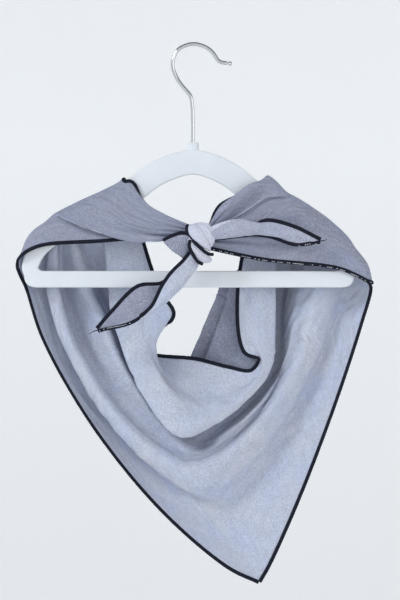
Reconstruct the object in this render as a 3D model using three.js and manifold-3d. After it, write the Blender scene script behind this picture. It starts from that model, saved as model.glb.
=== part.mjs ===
// A triangular neckerchief with overlocked edges, its ends knotted in front, on a small coat hanger.
// Millimetres, +Z up, +Y away from the viewer. The origin is the inside top of the hanger's hook.

import * as THREE from 'three';
import * as BufferGeometryUtils from 'three/addons/utils/BufferGeometryUtils.js';
import Module from 'manifold-3d';

const wasm = await Module();
wasm.setup();

// Hanger
const HOOK_WIRE = 3.6;
const HOOK_BOW = 17.8;
const HOOK_LENGTH = 89;
const HOOK_TIP_SHARE = 0.55;
const STEM_DEPTH = 9;
const BOSS_DIAMETER = 10.8;
const BOSS_HEIGHT = 6.5;
const HANGER_HEIGHT = 124;
const LEFT_REACH = 154;
const RIGHT_REACH = 147;
const HANGER_THICKNESS = 6;
const HANGER_EDGE_ROUND = 1.6;
const ARM_WIDTH = 22.5;
const ARM_END_WIDTH = 15;
const BAR_HEIGHT = 15;
const CORNER_RADIUS = 12;

// Cloth
const RIGHT_OVERHANG = 6;
const CLOTH_HEIGHT = 270;
const FOLD_DEPTH = 38;
const CLOTH_THICKNESS = 1.2;
const EDGING_DIAMETER = 2.6;
const CLEARANCE = 0.3;
const SHOULDER_TURN = 3.6;
const TURN_SLACK = 0.6;
const SHOULDER_SLACK = 0.4;
const LIFT = 10;
const FRONT_DEPTH = 16;

// Knot and tails
const KNOT_OFFSET = 6.3;
const KNOT_DOWN = 79;
const KNOT_WIDTH = 24;
const KNOT_HEIGHT = 23;
const KNOT_DEPTH = 18;
const KNOT_FORWARD = 15;
const KNOT_BITE = 7.5;
const WRAP_WIDTH = 18;
const WRAP_THICKNESS = 4.5;
const WRAP_LEAN = 24;
const TURN_WIDTH = 9;
const TURN_THICKNESS = 3.6;
const LEFT_TAIL_WIDTH = 92.7;
const LEFT_TAIL_HEIGHT = 84.6;
const RIGHT_TAIL_WIDTH = 108;
const RIGHT_TAIL_HEIGHT = 18;
const TAIL_DEPTH = 11;

// Heights that follow from the hanger
const BOSS_TOP = -HOOK_LENGTH + CLEARANCE;
const HANGER_TOP = BOSS_TOP - BOSS_HEIGHT;
const BAR_BOTTOM = HANGER_TOP - HANGER_HEIGHT;
const BAR_TOP = BAR_BOTTOM + BAR_HEIGHT;
const CLOTH_OFF_HANGER = CLEARANCE + EDGING_DIAMETER / 2 + SHOULDER_SLACK;
const BEHIND = HANGER_THICKNESS / 2 + CLOTH_OFF_HANGER;

// The hanger's upper edge from the top of the arch to the end of an arm.
const ARM_EDGE = [
  { across: 0, down: 0 },
  { across: 0.08, down: 0.012 },
  { across: 0.22, down: 0.076 },
  { across: 0.31, down: 0.142 },
  { across: 0.40, down: 0.23 },
  { across: 0.54, down: 0.324 },
  { across: 0.66, down: 0.396 },
  { across: 0.78, down: 0.484 },
  { across: 0.865, down: 0.571 },
  { across: 0.936, down: 0.658 },
  { across: 0.977, down: 0.745 },
  { across: 1, down: 0.855 },
  { across: 0.985, down: 0.92 },
];

// The hook's wire, from its foot to its tip. Heights under the bow are shares of the hook's length.
const HOOK_ROUTE = [
  { out: 0, up: -1.0, of: 'length' },
  { out: 0, up: -0.86, of: 'length' },
  { out: -0.03, up: -0.64, of: 'length' },
  { out: -0.1, up: -0.54, of: 'length' },
  { out: -0.2, up: -0.505, of: 'length' },
  { out: -0.39, up: -0.46, of: 'length' },
  { out: -0.66, up: -0.395, of: 'length' },
  { out: -0.91, up: -0.62, of: 'bow' },
  { out: -1.03, up: -0.1, of: 'bow' },
  { out: -0.81, up: 0.54, of: 'bow' },
  { out: -0.455, up: 0.79, of: 'bow' },
  { out: 0, up: 0.9, of: 'bow' },
  { out: 0.42, up: 0.83, of: 'bow' },
  { out: 0.76, up: 0.67, of: 'bow' },
  { out: 1.02, up: 0.43, of: 'bow' },
  { out: 1.33, up: 0.02, of: 'bow' },
  { out: 1.87, up: -0.09, of: 'bow' },
];

// The cloth behind the bar, a row for each fold from the neckline out to the hem. Span is where the fold
// crosses the bar's underside, and low is its lowest point. Bulge is 1 for a straight run.
const BACK_FOLDS = [
  { fold: 'neckline', span: [-0.21, 0.27], low: [0.02, 0.243], bulge: [2, 2], deep: [0.2, 0.3, 0.15] },
  { fold: 'bowl', span: [-0.25, 0.31], low: [0.05, 0.35], bulge: [2.2, 2.2], deep: [0.2, 0.42, 0.2] },
  { fold: 'cowl_crest', span: [-0.36, 0.40], low: [-0.01, 0.44], bulge: [1.7, 2.3], deep: [0.15, -0.25, 0.15] },
  { fold: 'cowl_lip', span: [-0.50, 0.49], low: [-0.06, 0.502], bulge: [1.5, 2.25], deep: [0.25, -0.1, 0.3] },
  { fold: 'pleat_front', span: [-0.42, 0.22], low: [-0.05, 0.39], bulge: [1.5, 1.1], deep: [0.55, 0.6, 0.7] },
  { fold: 'pleat_turn', span: [-0.49, 0.27], low: [-0.05, 0.49], bulge: [1.5, 1.2], deep: [0.7, 0.72, 0.84] },
  { fold: 'pleat_back', span: [-0.42, 0.16], low: [-0.14, 0.39], bulge: [1.5, 1], deep: [0.85, 0.84, 0.98] },
  { fold: 'first_valley', span: [-0.55, 0.54], low: [0.02, 0.52], bulge: [1.5, 2.1], deep: [1, 0.95, 1.1] },
  { fold: 'small_ridge', span: [-0.62, 0.58], low: [0.03, 0.546], bulge: [1.5, 1.9], deep: [0.5, 0.5, 0.8] },
  { fold: 'broad_valley', span: [-0.71, 0.64], low: [0.01, 0.567], bulge: [1.5, 1.8], deep: [0.95, 0.3, 0.4] },
  { fold: 'swag_crest', span: [-0.80, 0.73], low: [-0.01, 0.60], bulge: [1.5, 1.6], deep: [0.2, -0.1, 0.15] },
  { fold: 'swag_lip', span: [-0.86, 0.84], low: [0.06, 0.69], bulge: [1.5, 1.45], deep: [0.3, 0.1, 0.3] },
  { fold: 'under_valley', span: [-0.82, 0.91], low: [0.13, 0.735], bulge: [1.45, 1.3], deep: [0.7, 0.5, 0.6] },
  { fold: 'outer_strip', span: [-0.93, 0.985], low: [0.28, 0.87], bulge: [1.4, 1.15], deep: [0.5, 0.35, 0.4] },
  { fold: 'hem', span: [-0.985, 1.05], low: [0.39, 0.985], bulge: [1.36, 1.05], deep: [0.15, 0.1, 0.15] },
];

// The runs of the neckline, and of the fold beside it, that curl on their way down behind the bar.
const CURLS = {
  neckline: {
    left: [
      { across: -0.13, drop: 0.08, deep: 0.15 },
      { across: -0.17, drop: 0.128, deep: 0.3 },
      { across: -0.24, drop: 0.17, deep: 0.65 },
      { across: -0.20, drop: 0.244, deep: 0.5 },
    ],
    right: [
      { across: 0.295, drop: 0.14, deep: 0.12 },
      { across: 0.37, drop: 0.245, deep: 0.1 },
      { across: 0.33, drop: 0.279, deep: 0.15 },
      { across: 0.20, drop: 0.27, deep: 0.25 },
    ],
  },
  bowl: {
    right: [
      { across: 0.345, drop: 0.15, deep: 0.2 },
      { across: 0.425, drop: 0.26, deep: 0.15 },
      { across: 0.36, drop: 0.315, deep: 0.2 },
      { across: 0.20, drop: 0.345, deep: 0.35 },
    ],
  },
};
const RUN_ANGLES = [0, 18, 37, 56, 75];

// The cloth in front of the arms. Each row leaves the arm's edge at a share of its length, stands off it by
// its lift, and runs through a place near the arm and one half way to the knot. Fold counts the rows above.
const LEFT_FRONT = [
  { fold: 0, along: 0.335, lift: 0.2, near: [-0.36, 0.24], half: [-0.27, 0.40],
    knot: 0.585, out: [0.05, 0.2, 0.45] },
  { fold: 1, along: 0.36, lift: 0, near: [-0.39, 0.27], half: [-0.24, 0.425],
    knot: 0.57, out: [0.15, 0.4, 0.7] },
  { fold: 6, along: 0.52, lift: 0.1, near: [-0.57, 0.39], half: [-0.35, 0.54],
    knot: 0.61, out: [0.25, 0.6, 0.85] },
  { fold: 11, along: 0.68, lift: 0.1, near: [-0.76, 0.50], half: [-0.35, 0.67],
    knot: 0.645, out: [0.35, 0.6, 0.85] },
  { fold: 12, along: 0.70, lift: 0, near: [-0.74, 0.465], half: [-0.40, 0.585],
    knot: 0.61, out: [0.08, 0.2, 0.55] },
  { fold: 13, along: 0.84, lift: 0.25, near: [-0.84, 0.59], half: [-0.46, 0.60],
    knot: 0.605, out: [0.1, 0.1, 0.4] },
  { fold: 14, along: 0.97, lift: 0.3, near: [-0.90, 0.695], half: [-0.52, 0.655],
    knot: 0.60, out: [0.2, 0.1, 0.25] },
];
const RIGHT_FRONT = [
  { fold: 0, along: 0.345, lift: 0.35, near: [0.26, 0.34], half: [0.165, 0.42],
    knot: 0.565, out: [0.12, 0.2, 0.4] },
  { fold: 1.5, along: 0.365, lift: 0.75, near: [0.34, 0.265], half: [0.235, 0.42],
    knot: 0.575, out: [0.4, 0.6, 0.75] },
  { fold: 3, along: 0.43, lift: 0.75, near: [0.43, 0.35], half: [0.285, 0.46],
    knot: 0.60, out: [0.08, 0.25, 0.5] },
  { fold: 7, along: 0.56, lift: 0.7, near: [0.62, 0.47], half: [0.41, 0.54],
    knot: 0.63, out: [0.35, 0.4, 0.55] },
  { fold: 12, along: 0.81, lift: 0.7, near: [0.84, 0.70], half: [0.46, 0.70],
    knot: 0.67, out: [0.3, 0.35, 0.45] },
  { fold: 14, along: 1.0, lift: 1.5, near: [0.86, 0.855], half: [0.41, 0.79],
    knot: 0.71, out: [0.12, 0.25, 0.35] },
];

// The angles that the wrap passes on its way over the knot, and the route of the second turn under it.
const WRAP_STOPS = [20, 40, 60, 80, 100, 120, 140, 160];
const SECOND_TURN = [
  { across: -0.75, up: -0.1, out: 0.6 },
  { across: -0.7, up: -0.6, out: 0.95 },
  { across: -0.35, up: -1.25, out: 1.1 },
  { across: 0.3, up: -1.75, out: 0.95 },
  { across: 0.8, up: -1.9, out: 0.5 },
];

// The tails and the flap as seen from the knot, a row for each line along the cloth. Each place is a share
// of the tail's width, one of its height and one of its depth towards the viewer.
const LEFT_TAIL = [
  { line: 'front_edge', at: [
    [-0.02, 0.06, 0.5], [-0.146, 0.247, 0.85], [-0.27, 0.385, 0.95], [-0.356, 0.522, 1], [-0.469, 0.752, 0.9],
    [-0.68, 0.903, 0.7], [-0.97, 0.985, 0.5]] },
  { line: 'strip', at: [
    [0, 0.08, 0.7], [-0.09, 0.28, 1.05], [-0.18, 0.41, 1.15], [-0.265, 0.545, 1.15], [-0.45, 0.765, 0.95],
    [-0.69, 0.893, 0.62], [-0.971, 0.98, 0.48]] },
  { line: 'roll', at: [
    [0.02, 0.1, 0.5], [-0.02, 0.31, 0.75], [-0.10, 0.43, 0.8], [-0.205, 0.57, 0.8], [-0.43, 0.775, 0.75],
    [-0.70, 0.88, 0.54], [-0.972, 0.975, 0.46]] },
  { line: 'under_left', at: [
    [-0.02, 0.07, 0.35], [-0.13, 0.26, 0.5], [-0.24, 0.39, 0.55], [-0.33, 0.53, 0.6], [-0.476, 0.733, 0.55],
    [-0.715, 0.866, 0.48], [-0.973, 0.97, 0.45]] },
  { line: 'under_right', at: [
    [0.01, 0.1, 0.15], [-0.04, 0.3, 0.25], [-0.12, 0.42, 0.3], [-0.22, 0.56, 0.35], [-0.50, 0.696, 0.43],
    [-0.73, 0.852, 0.44], [-0.974, 0.966, 0.44]] },
  { line: 'leaf', at: [
    [-0.01, 0.08, -0.05], [-0.09, 0.27, 0], [-0.20, 0.39, 0.05], [-0.30, 0.52, 0.1], [-0.544, 0.632, 0.3],
    [-0.765, 0.83, 0.4], [-0.976, 0.962, 0.43]] },
  { line: 'back_edge', at: [
    [-0.03, 0.05, -0.3], [-0.12, 0.24, -0.25], [-0.24, 0.36, -0.15], [-0.36, 0.49, 0], [-0.592, 0.527, 0.2],
    [-0.84, 0.79, 0.35], [-0.98, 0.955, 0.42]] },
];
const RIGHT_TAIL = [
  { line: 'upper_edge', at: [
    [0.03, 0, 0.45], [0.19, -0.3, 0.55], [0.33, -0.5, 0.6], [0.43, -0.57, 0.65], [0.56, -0.75, 0.85],
    [0.78, -0.42, 0.8], [0.975, 0.12, 0.7]] },
  { line: 'top_fold', at: [
    [0.04, -0.3, 0.65], [0.2, -0.71, 0.8], [0.33, -0.845, 0.95], [0.445, -0.67, 1], [0.57, -0.55, 0.87],
    [0.785, -0.28, 0.75], [0.975, 0.14, 0.65]] },
  { line: 'face', at: [
    [0.04, -0.1, 0.9], [0.2, -0.3, 1.1], [0.33, -0.42, 1.15], [0.45, -0.35, 1], [0.58, -0.3, 0.75],
    [0.79, -0.05, 0.65], [0.97, 0.17, 0.6]] },
  { line: 'low_fold', at: [
    [0.04, 0.15, 0.6], [0.2, 0.1, 0.75], [0.34, -0.02, 0.75], [0.46, -0.09, 0.65], [0.59, -0.03, 0.55],
    [0.79, 0.18, 0.5], [0.97, 0.2, 0.56]] },
  { line: 'back', at: [
    [0.03, -0.25, 0.2], [0.19, -0.62, 0.3], [0.32, -0.72, 0.35], [0.45, -0.55, 0.4], [0.58, -0.3, 0.4],
    [0.79, 0.26, 0.46], [0.972, 0.23, 0.54]] },
  { line: 'low_edge', at: [
    [0.03, 0.1, -0.15], [0.19, 0.02, -0.1], [0.33, -0.1, -0.05], [0.45, -0.14, 0.05], [0.58, -0.04, 0.2],
    [0.78, 0.34, 0.42], [0.975, 0.26, 0.52]] },
];
const LEFT_FLAP = [
  { line: 'top_edge', at: [
    [-0.35, 0.047, 0.35], [-0.272, 0.004, 0.4], [-0.175, -0.028, 0.45], [-0.097, -0.012, 0.5],
    [-0.03, 0.036, 0.4]] },
  { line: 'middle', at: [
    [-0.345, 0.057, 0.38], [-0.27, 0.07, 0.5], [-0.19, 0.08, 0.5], [-0.12, 0.09, 0.4], [-0.05, 0.11, 0.15]] },
  { line: 'foot', at: [
    [-0.34, 0.065, 0.35], [-0.272, 0.143, 0.3], [-0.21, 0.19, 0.25], [-0.15, 0.23, 0.15], [-0.08, 0.2, 0]] },
];

// How finely the cloth is divided along each span between two stations, and between two folds.
const HALF_SPANS = [2, 3, 1, 2, 2, 1, 2, 2, 2, 1, 2];
const FOLD_STEPS = 2;
const TAIL_STEPS = 2;
const EDGING_SIDES = 6;
const EDGING_FINENESS = 1.7;
const HOOK_SIDES = 8;
const HOOK_STEPS = 30;

// The stations along each fold, from the left end at the knot to the right one, and the fold where the
// cloth behind the bar is split in two.
const SHOULDER_L = 4;
const LOW = 11;
const SHOULDER_R = 18;
const LAST = 22;
const SPLIT = 0.12;
const COWL_END = 7;
const FOLD_SPLIT = 0.06;

const mix = (a, b, t) => a + (b - a) * t;
const at = (x, y, z) => new THREE.Vector3(x, y, z);

function material(color, roughness, metalness) {
  return new THREE.MeshStandardMaterial({ color, roughness, metalness });
}

const INNER_FACE = material(0xb4b8cc, 0.9, 0);
const OUTER_FACE = material(0x9698aa, 0.9, 0);
const EDGING = material(0x14161f, 0.8, 0);
const FLOCK = material(0xe4eaf0, 0.8, 0);
const CHROME = material(0xc8cace, 0.15, 1);

// Solids as closed meshes, for cuts and joins.
function toSolid(geometry) {
  const bare = geometry.clone();
  for (const name of Object.keys(bare.attributes)) {
    if (name !== 'position') bare.deleteAttribute(name);
  }
  const merged = BufferGeometryUtils.mergeVertices(bare, 1e-4);
  const index = merged.getIndex();
  return new wasm.Manifold(new wasm.Mesh({
    numProp: 3,
    vertProperties: new Float32Array(merged.attributes.position.array),
    triVerts: new Uint32Array(index.array),
  }));
}

function toGeometry(solid) {
  const mesh = solid.getMesh();
  const geometry = new THREE.BufferGeometry();
  geometry.setAttribute('position', new THREE.BufferAttribute(mesh.vertProperties, 3));
  geometry.setIndex(new THREE.BufferAttribute(mesh.triVerts, 1));
  geometry.computeVertexNormals();
  return geometry;
}

function rowCurve(points) {
  return new THREE.CatmullRomCurve3(points, false, 'centripetal');
}

// A sheet is a grid of guide points, a row for each fold. A row with a sharp station is two curves.
class Sheet {
  constructor(rows, sharpRow, sharpStation) {
    this.last = rows[0].length - 1;
    this.folds = rows.length - 1;
    this.rows = rows.map((row, i) => {
      if (i !== sharpRow) return { whole: rowCurve(row) };
      const before = rowCurve(row.slice(0, sharpStation + 1));
      const after = rowCurve(row.slice(sharpStation));
      return { before, after, sharpStation };
    });
  }

  guide(row, station) {
    if (row.whole) return row.whole.getPoint(station / this.last);
    if (station <= row.sharpStation) return row.before.getPoint(station / row.sharpStation);
    return row.after.getPoint((station - row.sharpStation) / (this.last - row.sharpStation));
  }

  line(station, shares) {
    const across = rowCurve(this.rows.map((row) => this.guide(row, station)));
    return shares.map((share) => across.getPoint(share / this.folds));
  }

  // The line just outside one long edge, where its overlocking runs.
  rim(stations, hemSide, offset) {
    const step = 0.08;
    const inward = 0.02;
    return stations.map((station) => {
      const near = inward * hemSide;
      const [edge, inside] = this.line(station, hemSide > 0 ? [this.folds, this.folds - near] : [0, -near]);
      const ahead = this.line(Math.min(station + step, this.last), [hemSide > 0 ? this.folds : 0])[0];
      const behind = this.line(Math.max(station - step, 0), [hemSide > 0 ? this.folds : 0])[0];
      const along = ahead.sub(behind).normalize();
      const outward = edge.clone().sub(inside);
      outward.addScaledVector(along, -outward.dot(along)).normalize();
      return edge.addScaledVector(outward, offset);
    });
  }
}

function steps(from, to, spans) {
  const stations = [from];
  for (let span = Math.floor(from); span < to; span += 1) {
    const count = spans[span];
    for (let i = 1; i <= count; i += 1) {
      const station = span + i / count;
      if (station > from + SPLIT && station < to - SPLIT) stations.push(station);
    }
  }
  stations.push(to);
  return stations;
}

// A closed wall of even thickness on a sheet, through its stations and places across the folds.
function wall(sheet, stations, shares) {
  const count = shares.length;
  const grid = stations.map((station) => sheet.line(station, shares));
  const positions = [];
  const normalAt = (i, j) => {
    const u = grid[Math.min(i + 1, grid.length - 1)][j].clone().sub(grid[Math.max(i - 1, 0)][j]);
    const v = grid[i][Math.min(j + 1, count - 1)].clone().sub(grid[i][Math.max(j - 1, 0)]);
    return u.cross(v).normalize();
  };
  for (const side of [1, -1]) {
    grid.forEach((line, i) => line.forEach((point, j) => {
      const placed = point.clone().addScaledVector(normalAt(i, j), side * CLOTH_THICKNESS / 2);
      positions.push(placed.x, placed.y, placed.z);
    }));
  }
  const index = [];
  const total = grid.length * count;
  const quad = (a, b, c, d) => index.push(a, b, c, a, c, d);
  for (let i = 0; i < grid.length - 1; i += 1) {
    for (let j = 0; j < count - 1; j += 1) {
      const a = i * count + j;
      quad(a, a + count, a + count + 1, a + 1);
      quad(total + a, total + a + 1, total + a + count + 1, total + a + count);
    }
  }
  for (let i = 0; i < grid.length - 1; i += 1) {
    const a = i * count;
    quad(a, total + a, total + a + count, a + count);
    const b = a + count - 1;
    quad(b, b + count, total + b + count, total + b);
  }
  for (let j = 0; j < count - 1; j += 1) {
    quad(j, j + 1, total + j + 1, total + j);
    const b = (grid.length - 1) * count + j;
    quad(b, total + b, total + b + 1, b + 1);
  }
  const geometry = new THREE.BufferGeometry();
  geometry.setAttribute('position', new THREE.Float32BufferAttribute(positions, 3));
  geometry.setIndex(index);
  return geometry;
}

// A round strand along a line of points.
function strand(points, diameter, sides, count) {
  const section = new THREE.Shape();
  for (let i = 0; i < sides; i += 1) {
    const angle = (i / sides) * Math.PI * 2;
    const x = Math.cos(angle) * diameter / 2;
    const y = Math.sin(angle) * diameter / 2;
    if (i === 0) section.moveTo(x, y);
    else section.lineTo(x, y);
  }
  section.closePath();
  return new THREE.ExtrudeGeometry(section, { steps: count, extrudePath: rowCurve(points), curveSegments: 1 });
}

// The hanger
function armCurve(side) {
  const reach = side < 0 ? LEFT_REACH : RIGHT_REACH;
  return rowCurve(ARM_EDGE.map((p) => at(side * p.across * reach, 0, HANGER_TOP - p.down * HANGER_HEIGHT)));
}

const ARMS = { left: armCurve(-1), right: armCurve(1) };

// The point on an arm's upper edge at a share of its length, moved off the edge by a height.
function onArm(name, along, height) {
  const side = name === 'left' ? -1 : 1;
  const point = ARMS[name].getPoint(along);
  const tangent = ARMS[name].getTangent(along);
  const outward = at(-side * tangent.z, 0, side * tangent.x);
  return { point: point.addScaledVector(outward, height), outward };
}

// The band is even over the arch and narrows from its foot to the window's corners.
function hangerBody() {
  const edgeSteps = 12;
  const archShare = 0.3;
  const cornerShare = 0.9;
  const outer = [];
  const inner = [];
  const narrowing = (share) => Math.max(0, share - archShare) / (cornerShare - archShare);
  const insideWidth = (share) => mix(ARM_WIDTH, ARM_END_WIDTH, narrowing(share));
  for (let i = edgeSteps; i >= 0; i -= 1) outer.push(onArm('right', i / edgeSteps, 0).point);
  for (let i = 1; i <= edgeSteps; i += 1) outer.push(onArm('left', i / edgeSteps, 0).point);
  for (let i = edgeSteps; i >= 0; i -= 1) {
    const share = (i / edgeSteps) * cornerShare;
    inner.push(onArm('left', share, -insideWidth(share)).point);
  }
  for (let i = 1; i <= edgeSteps; i += 1) {
    const share = (i / edgeSteps) * cornerShare;
    inner.push(onArm('right', share, -insideWidth(share)).point);
  }
  const shape = new THREE.Shape(outer.map((p) => new THREE.Vector2(p.x, p.z)));
  const [rightEnd, leftEnd] = [outer[0], outer[outer.length - 1]];
  shape.quadraticCurveTo(leftEnd.x, BAR_BOTTOM, leftEnd.x + CORNER_RADIUS, BAR_BOTTOM);
  shape.lineTo(rightEnd.x - CORNER_RADIUS, BAR_BOTTOM);
  shape.quadraticCurveTo(rightEnd.x, BAR_BOTTOM, rightEnd.x, rightEnd.z);
  const window = new THREE.Path(inner.map((p) => new THREE.Vector2(p.x, p.z)));
  const [leftIn, rightIn] = [inner[0], inner[inner.length - 1]];
  window.quadraticCurveTo(rightIn.x, BAR_TOP, rightIn.x - CORNER_RADIUS / 2, BAR_TOP);
  window.lineTo(leftIn.x + CORNER_RADIUS / 2, BAR_TOP);
  window.quadraticCurveTo(leftIn.x, BAR_TOP, leftIn.x, leftIn.z);
  shape.holes.push(window);
  const plate = new THREE.ExtrudeGeometry(shape, {
    depth: HANGER_THICKNESS - 2 * HANGER_EDGE_ROUND,
    bevelThickness: HANGER_EDGE_ROUND,
    bevelSize: HANGER_EDGE_ROUND,
    bevelOffset: -HANGER_EDGE_ROUND,
    bevelSegments: 2,
    curveSegments: 4,
  });
  plate.rotateX(Math.PI / 2);
  plate.translate(0, HANGER_THICKNESS / 2 - HANGER_EDGE_ROUND, 0);
  const bossLength = 1.5 * BOSS_HEIGHT;
  const boss = new THREE.CylinderGeometry(BOSS_DIAMETER / 2, BOSS_DIAMETER / 2, bossLength, 12);
  boss.rotateX(Math.PI / 2);
  boss.translate(0, 0, BOSS_TOP - bossLength / 2);
  boss.scale(1, HANGER_THICKNESS / BOSS_DIAMETER, 1);
  const boreRadius = HOOK_WIRE / 2 + CLEARANCE;
  const bore = new THREE.CylinderGeometry(boreRadius, boreRadius, 2 * (STEM_DEPTH + CLEARANCE), 10);
  bore.rotateX(Math.PI / 2);
  bore.translate(0, 0, BOSS_TOP);
  return toGeometry(toSolid(plate).add(toSolid(boss)).subtract(toSolid(bore)));
}

function hangerHook() {
  const bowCentre = -HOOK_BOW + HOOK_WIRE / 2;
  const route = HOOK_ROUTE.map((p) => {
    const x = p.out * HOOK_BOW;
    const z = p.of === 'bow' ? bowCentre + p.up * HOOK_BOW : p.up * HOOK_LENGTH;
    return at(x, 0, z);
  });
  route.unshift(at(0, 0, BOSS_TOP - STEM_DEPTH));
  const tip = route[route.length - 1];
  const end = new THREE.SphereGeometry(HOOK_WIRE * HOOK_TIP_SHARE, 8, 6);
  end.translate(tip.x, tip.y, tip.z);
  return toGeometry(toSolid(strand(route, HOOK_WIRE, HOOK_SIDES, HOOK_STEPS)).add(toSolid(end)));
}

// The main cloth
function frontRow(table, fold) {
  let i = 0;
  while (i < table.length - 2 && table[i + 1].fold < fold) i += 1;
  const [a, b] = [table[i], table[i + 1]];
  const t = (fold - a.fold) / (b.fold - a.fold);
  const pair = (p, q) => p.map((value, k) => mix(value, q[k], t));
  return {
    along: mix(a.along, b.along, t),
    lift: mix(a.lift, b.lift, t),
    near: pair(a.near, b.near),
    half: pair(a.half, b.half),
    knot: mix(a.knot, b.knot, t),
    out: pair(a.out, b.out),
  };
}

// A share of the cloth's half width, which follows the hanger's arm on that side.
function clothAcross(share) {
  return share * (share < 0 ? LEFT_REACH : RIGHT_REACH + RIGHT_OVERHANG);
}

function inFront([across, down], out) {
  return at(clothAcross(across), -BEHIND - out * FRONT_DEPTH, HANGER_TOP - down * HANGER_HEIGHT);
}

function frontStations(name, fold) {
  const row = frontRow(name === 'left' ? LEFT_FRONT : RIGHT_FRONT, fold);
  const end = inFront([0, row.knot], row.out[2]);
  end.x = KNOT_OFFSET + (name === 'left' ? -KNOT_BITE : KNOT_BITE);
  const lift = CLOTH_OFF_HANGER + row.lift * LIFT;
  const top = onArm(name, row.along, lift).point;
  const before = onArm(name, row.along, lift - SHOULDER_TURN).point;
  const behind = before.clone();
  before.y = -BEHIND - TURN_SLACK;
  behind.y = BEHIND + TURN_SLACK;
  return [
    end,
    inFront(row.half, row.out[1]),
    inFront(row.near, row.out[0]),
    before,
    top,
    behind,
  ];
}

function behindBar(across, drop, deep) {
  return at(clothAcross(across), BEHIND + deep * FOLD_DEPTH, BAR_BOTTOM - drop * CLOTH_HEIGHT);
}

// One side of a fold from the bar to just before its lowest point, on a round or a straight run.
function hangingSide(row, side, curls) {
  const end = side < 0 ? 0 : 1;
  const start = row.span[end];
  const deep = row.deep[2 * end];
  if (curls) return [behindBar(start, 0, deep), ...curls.map((c) => behindBar(c.across, c.drop, c.deep))];
  const [low, drop] = row.low;
  return RUN_ANGLES.map((degrees) => {
    const angle = THREE.MathUtils.degToRad(degrees);
    const across = mix(low, start, Math.cos(angle) ** (2 / row.bulge[end]));
    const down = drop * Math.sin(angle) ** (2 / row.bulge[end]);
    return behindBar(across, down, mix(deep, row.deep[1], Math.sin(angle) ** 2));
  });
}

function clothRows() {
  return BACK_FOLDS.map((row, fold) => {
    const curls = CURLS[row.fold] ?? {};
    const left = [...frontStations('left', fold), ...hangingSide(row, -1, curls.left)];
    const right = [...frontStations('right', fold), ...hangingSide(row, 1, curls.right)];
    return [...left, behindBar(...row.low, row.deep[1]), ...right.reverse()];
  });
}

const HEM = BACK_FOLDS.length - 1;
const CLOTH = new Sheet(clothRows(), HEM, LOW);
const CLOTH_SPANS = [...HALF_SPANS, ...HALF_SPANS.toReversed()];
const EDGE_OFFSET = 2 * CLEARANCE + EDGING_DIAMETER / 2;

// The knot: a core, a band wrapped over it from upper left to lower right, and a second turn under it.
const KNOT = at(KNOT_OFFSET, -BEHIND - KNOT_FORWARD, HANGER_TOP - KNOT_DOWN);

function knotCore(grow) {
  const core = new THREE.SphereGeometry(1, 12, 8);
  core.scale(KNOT_WIDTH / 2 + grow, KNOT_DEPTH / 2 + grow, KNOT_HEIGHT / 2 + grow);
  core.rotateY(THREE.MathUtils.degToRad(25));
  core.translate(KNOT.x, KNOT.y, KNOT.z);
  return toSolid(core);
}

function ovalBand(route, width, thickness) {
  const section = new THREE.Shape();
  section.absellipse(0, 0, width / 2, thickness / 2, 0, Math.PI * 2, false, 0);
  const path = { steps: 10, extrudePath: rowCurve(route), curveSegments: 5 };
  return toSolid(new THREE.ExtrudeGeometry(section, path));
}

// The wrap goes over the core on an arc, from above to below, in a plane that leans to the right.
function wrapSolid(grow) {
  const lean = THREE.MathUtils.degToRad(WRAP_LEAN);
  const radius = KNOT_HEIGHT / 2;
  const route = WRAP_STOPS.map((degrees) => {
    const angle = THREE.MathUtils.degToRad(degrees);
    const up = Math.cos(angle) * radius;
    const out = Math.sin(angle) * radius * KNOT_DEPTH / KNOT_HEIGHT;
    return at(KNOT.x - Math.sin(lean) * up, KNOT.y - out, KNOT.z + Math.cos(lean) * up);
  });
  return ovalBand(route, WRAP_WIDTH + 2 * grow, WRAP_THICKNESS + 2 * grow);
}

// The second turn comes from the left of the knot and runs down into the left tail.
function turnSolid(grow) {
  const route = SECOND_TURN.map((p) => at(
    KNOT.x + p.across * KNOT_WIDTH / 2,
    KNOT.y - p.out * KNOT_DEPTH / 2,
    KNOT.z + p.up * KNOT_HEIGHT / 2,
  ));
  return ovalBand(route, TURN_WIDTH + 2 * grow, TURN_THICKNESS + 2 * grow);
}

// The tails and the flap
function looseSheet(table, width, height) {
  const place = ([across, down, out]) => (
    at(KNOT.x + across * width, KNOT.y - out * TAIL_DEPTH, KNOT.z - down * height)
  );
  return new Sheet(table.map((row) => row.at.map(place)), -1, 0);
}

const LOOSE_SHEETS = [
  { name: 'left_tail', sheet: looseSheet(LEFT_TAIL, LEFT_TAIL_WIDTH, LEFT_TAIL_HEIGHT), hem: true },
  { name: 'right_tail', sheet: looseSheet(RIGHT_TAIL, RIGHT_TAIL_WIDTH, RIGHT_TAIL_HEIGHT), hem: true },
  { name: 'left_flap', sheet: looseSheet(LEFT_FLAP, LEFT_TAIL_WIDTH, LEFT_TAIL_HEIGHT), hem: false },
];

const neckerchief = new THREE.Group();

function addPiece(name, geometry, look) {
  const mesh = new THREE.Mesh(geometry, look);
  mesh.name = name;
  neckerchief.add(mesh);
}

const core = knotCore(0);
const knotRoom = knotCore(CLEARANCE);
const wrapRoom = wrapSolid(CLEARANCE);
const turnRoom = turnSolid(CLEARANCE);
const knotSpace = knotRoom.add(wrapRoom).add(turnRoom);

// Places across a sheet, from one fold to another.
function across(from, to, foldSteps) {
  const count = Math.ceil((to - from) * foldSteps) + 1;
  const inside = Array.from({ length: count }, (_, i) => Math.floor(from) + i / foldSteps);
  return [from, ...inside.filter((place) => place > from + FOLD_SPLIT && place < to - FOLD_SPLIT), to];
}

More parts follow.
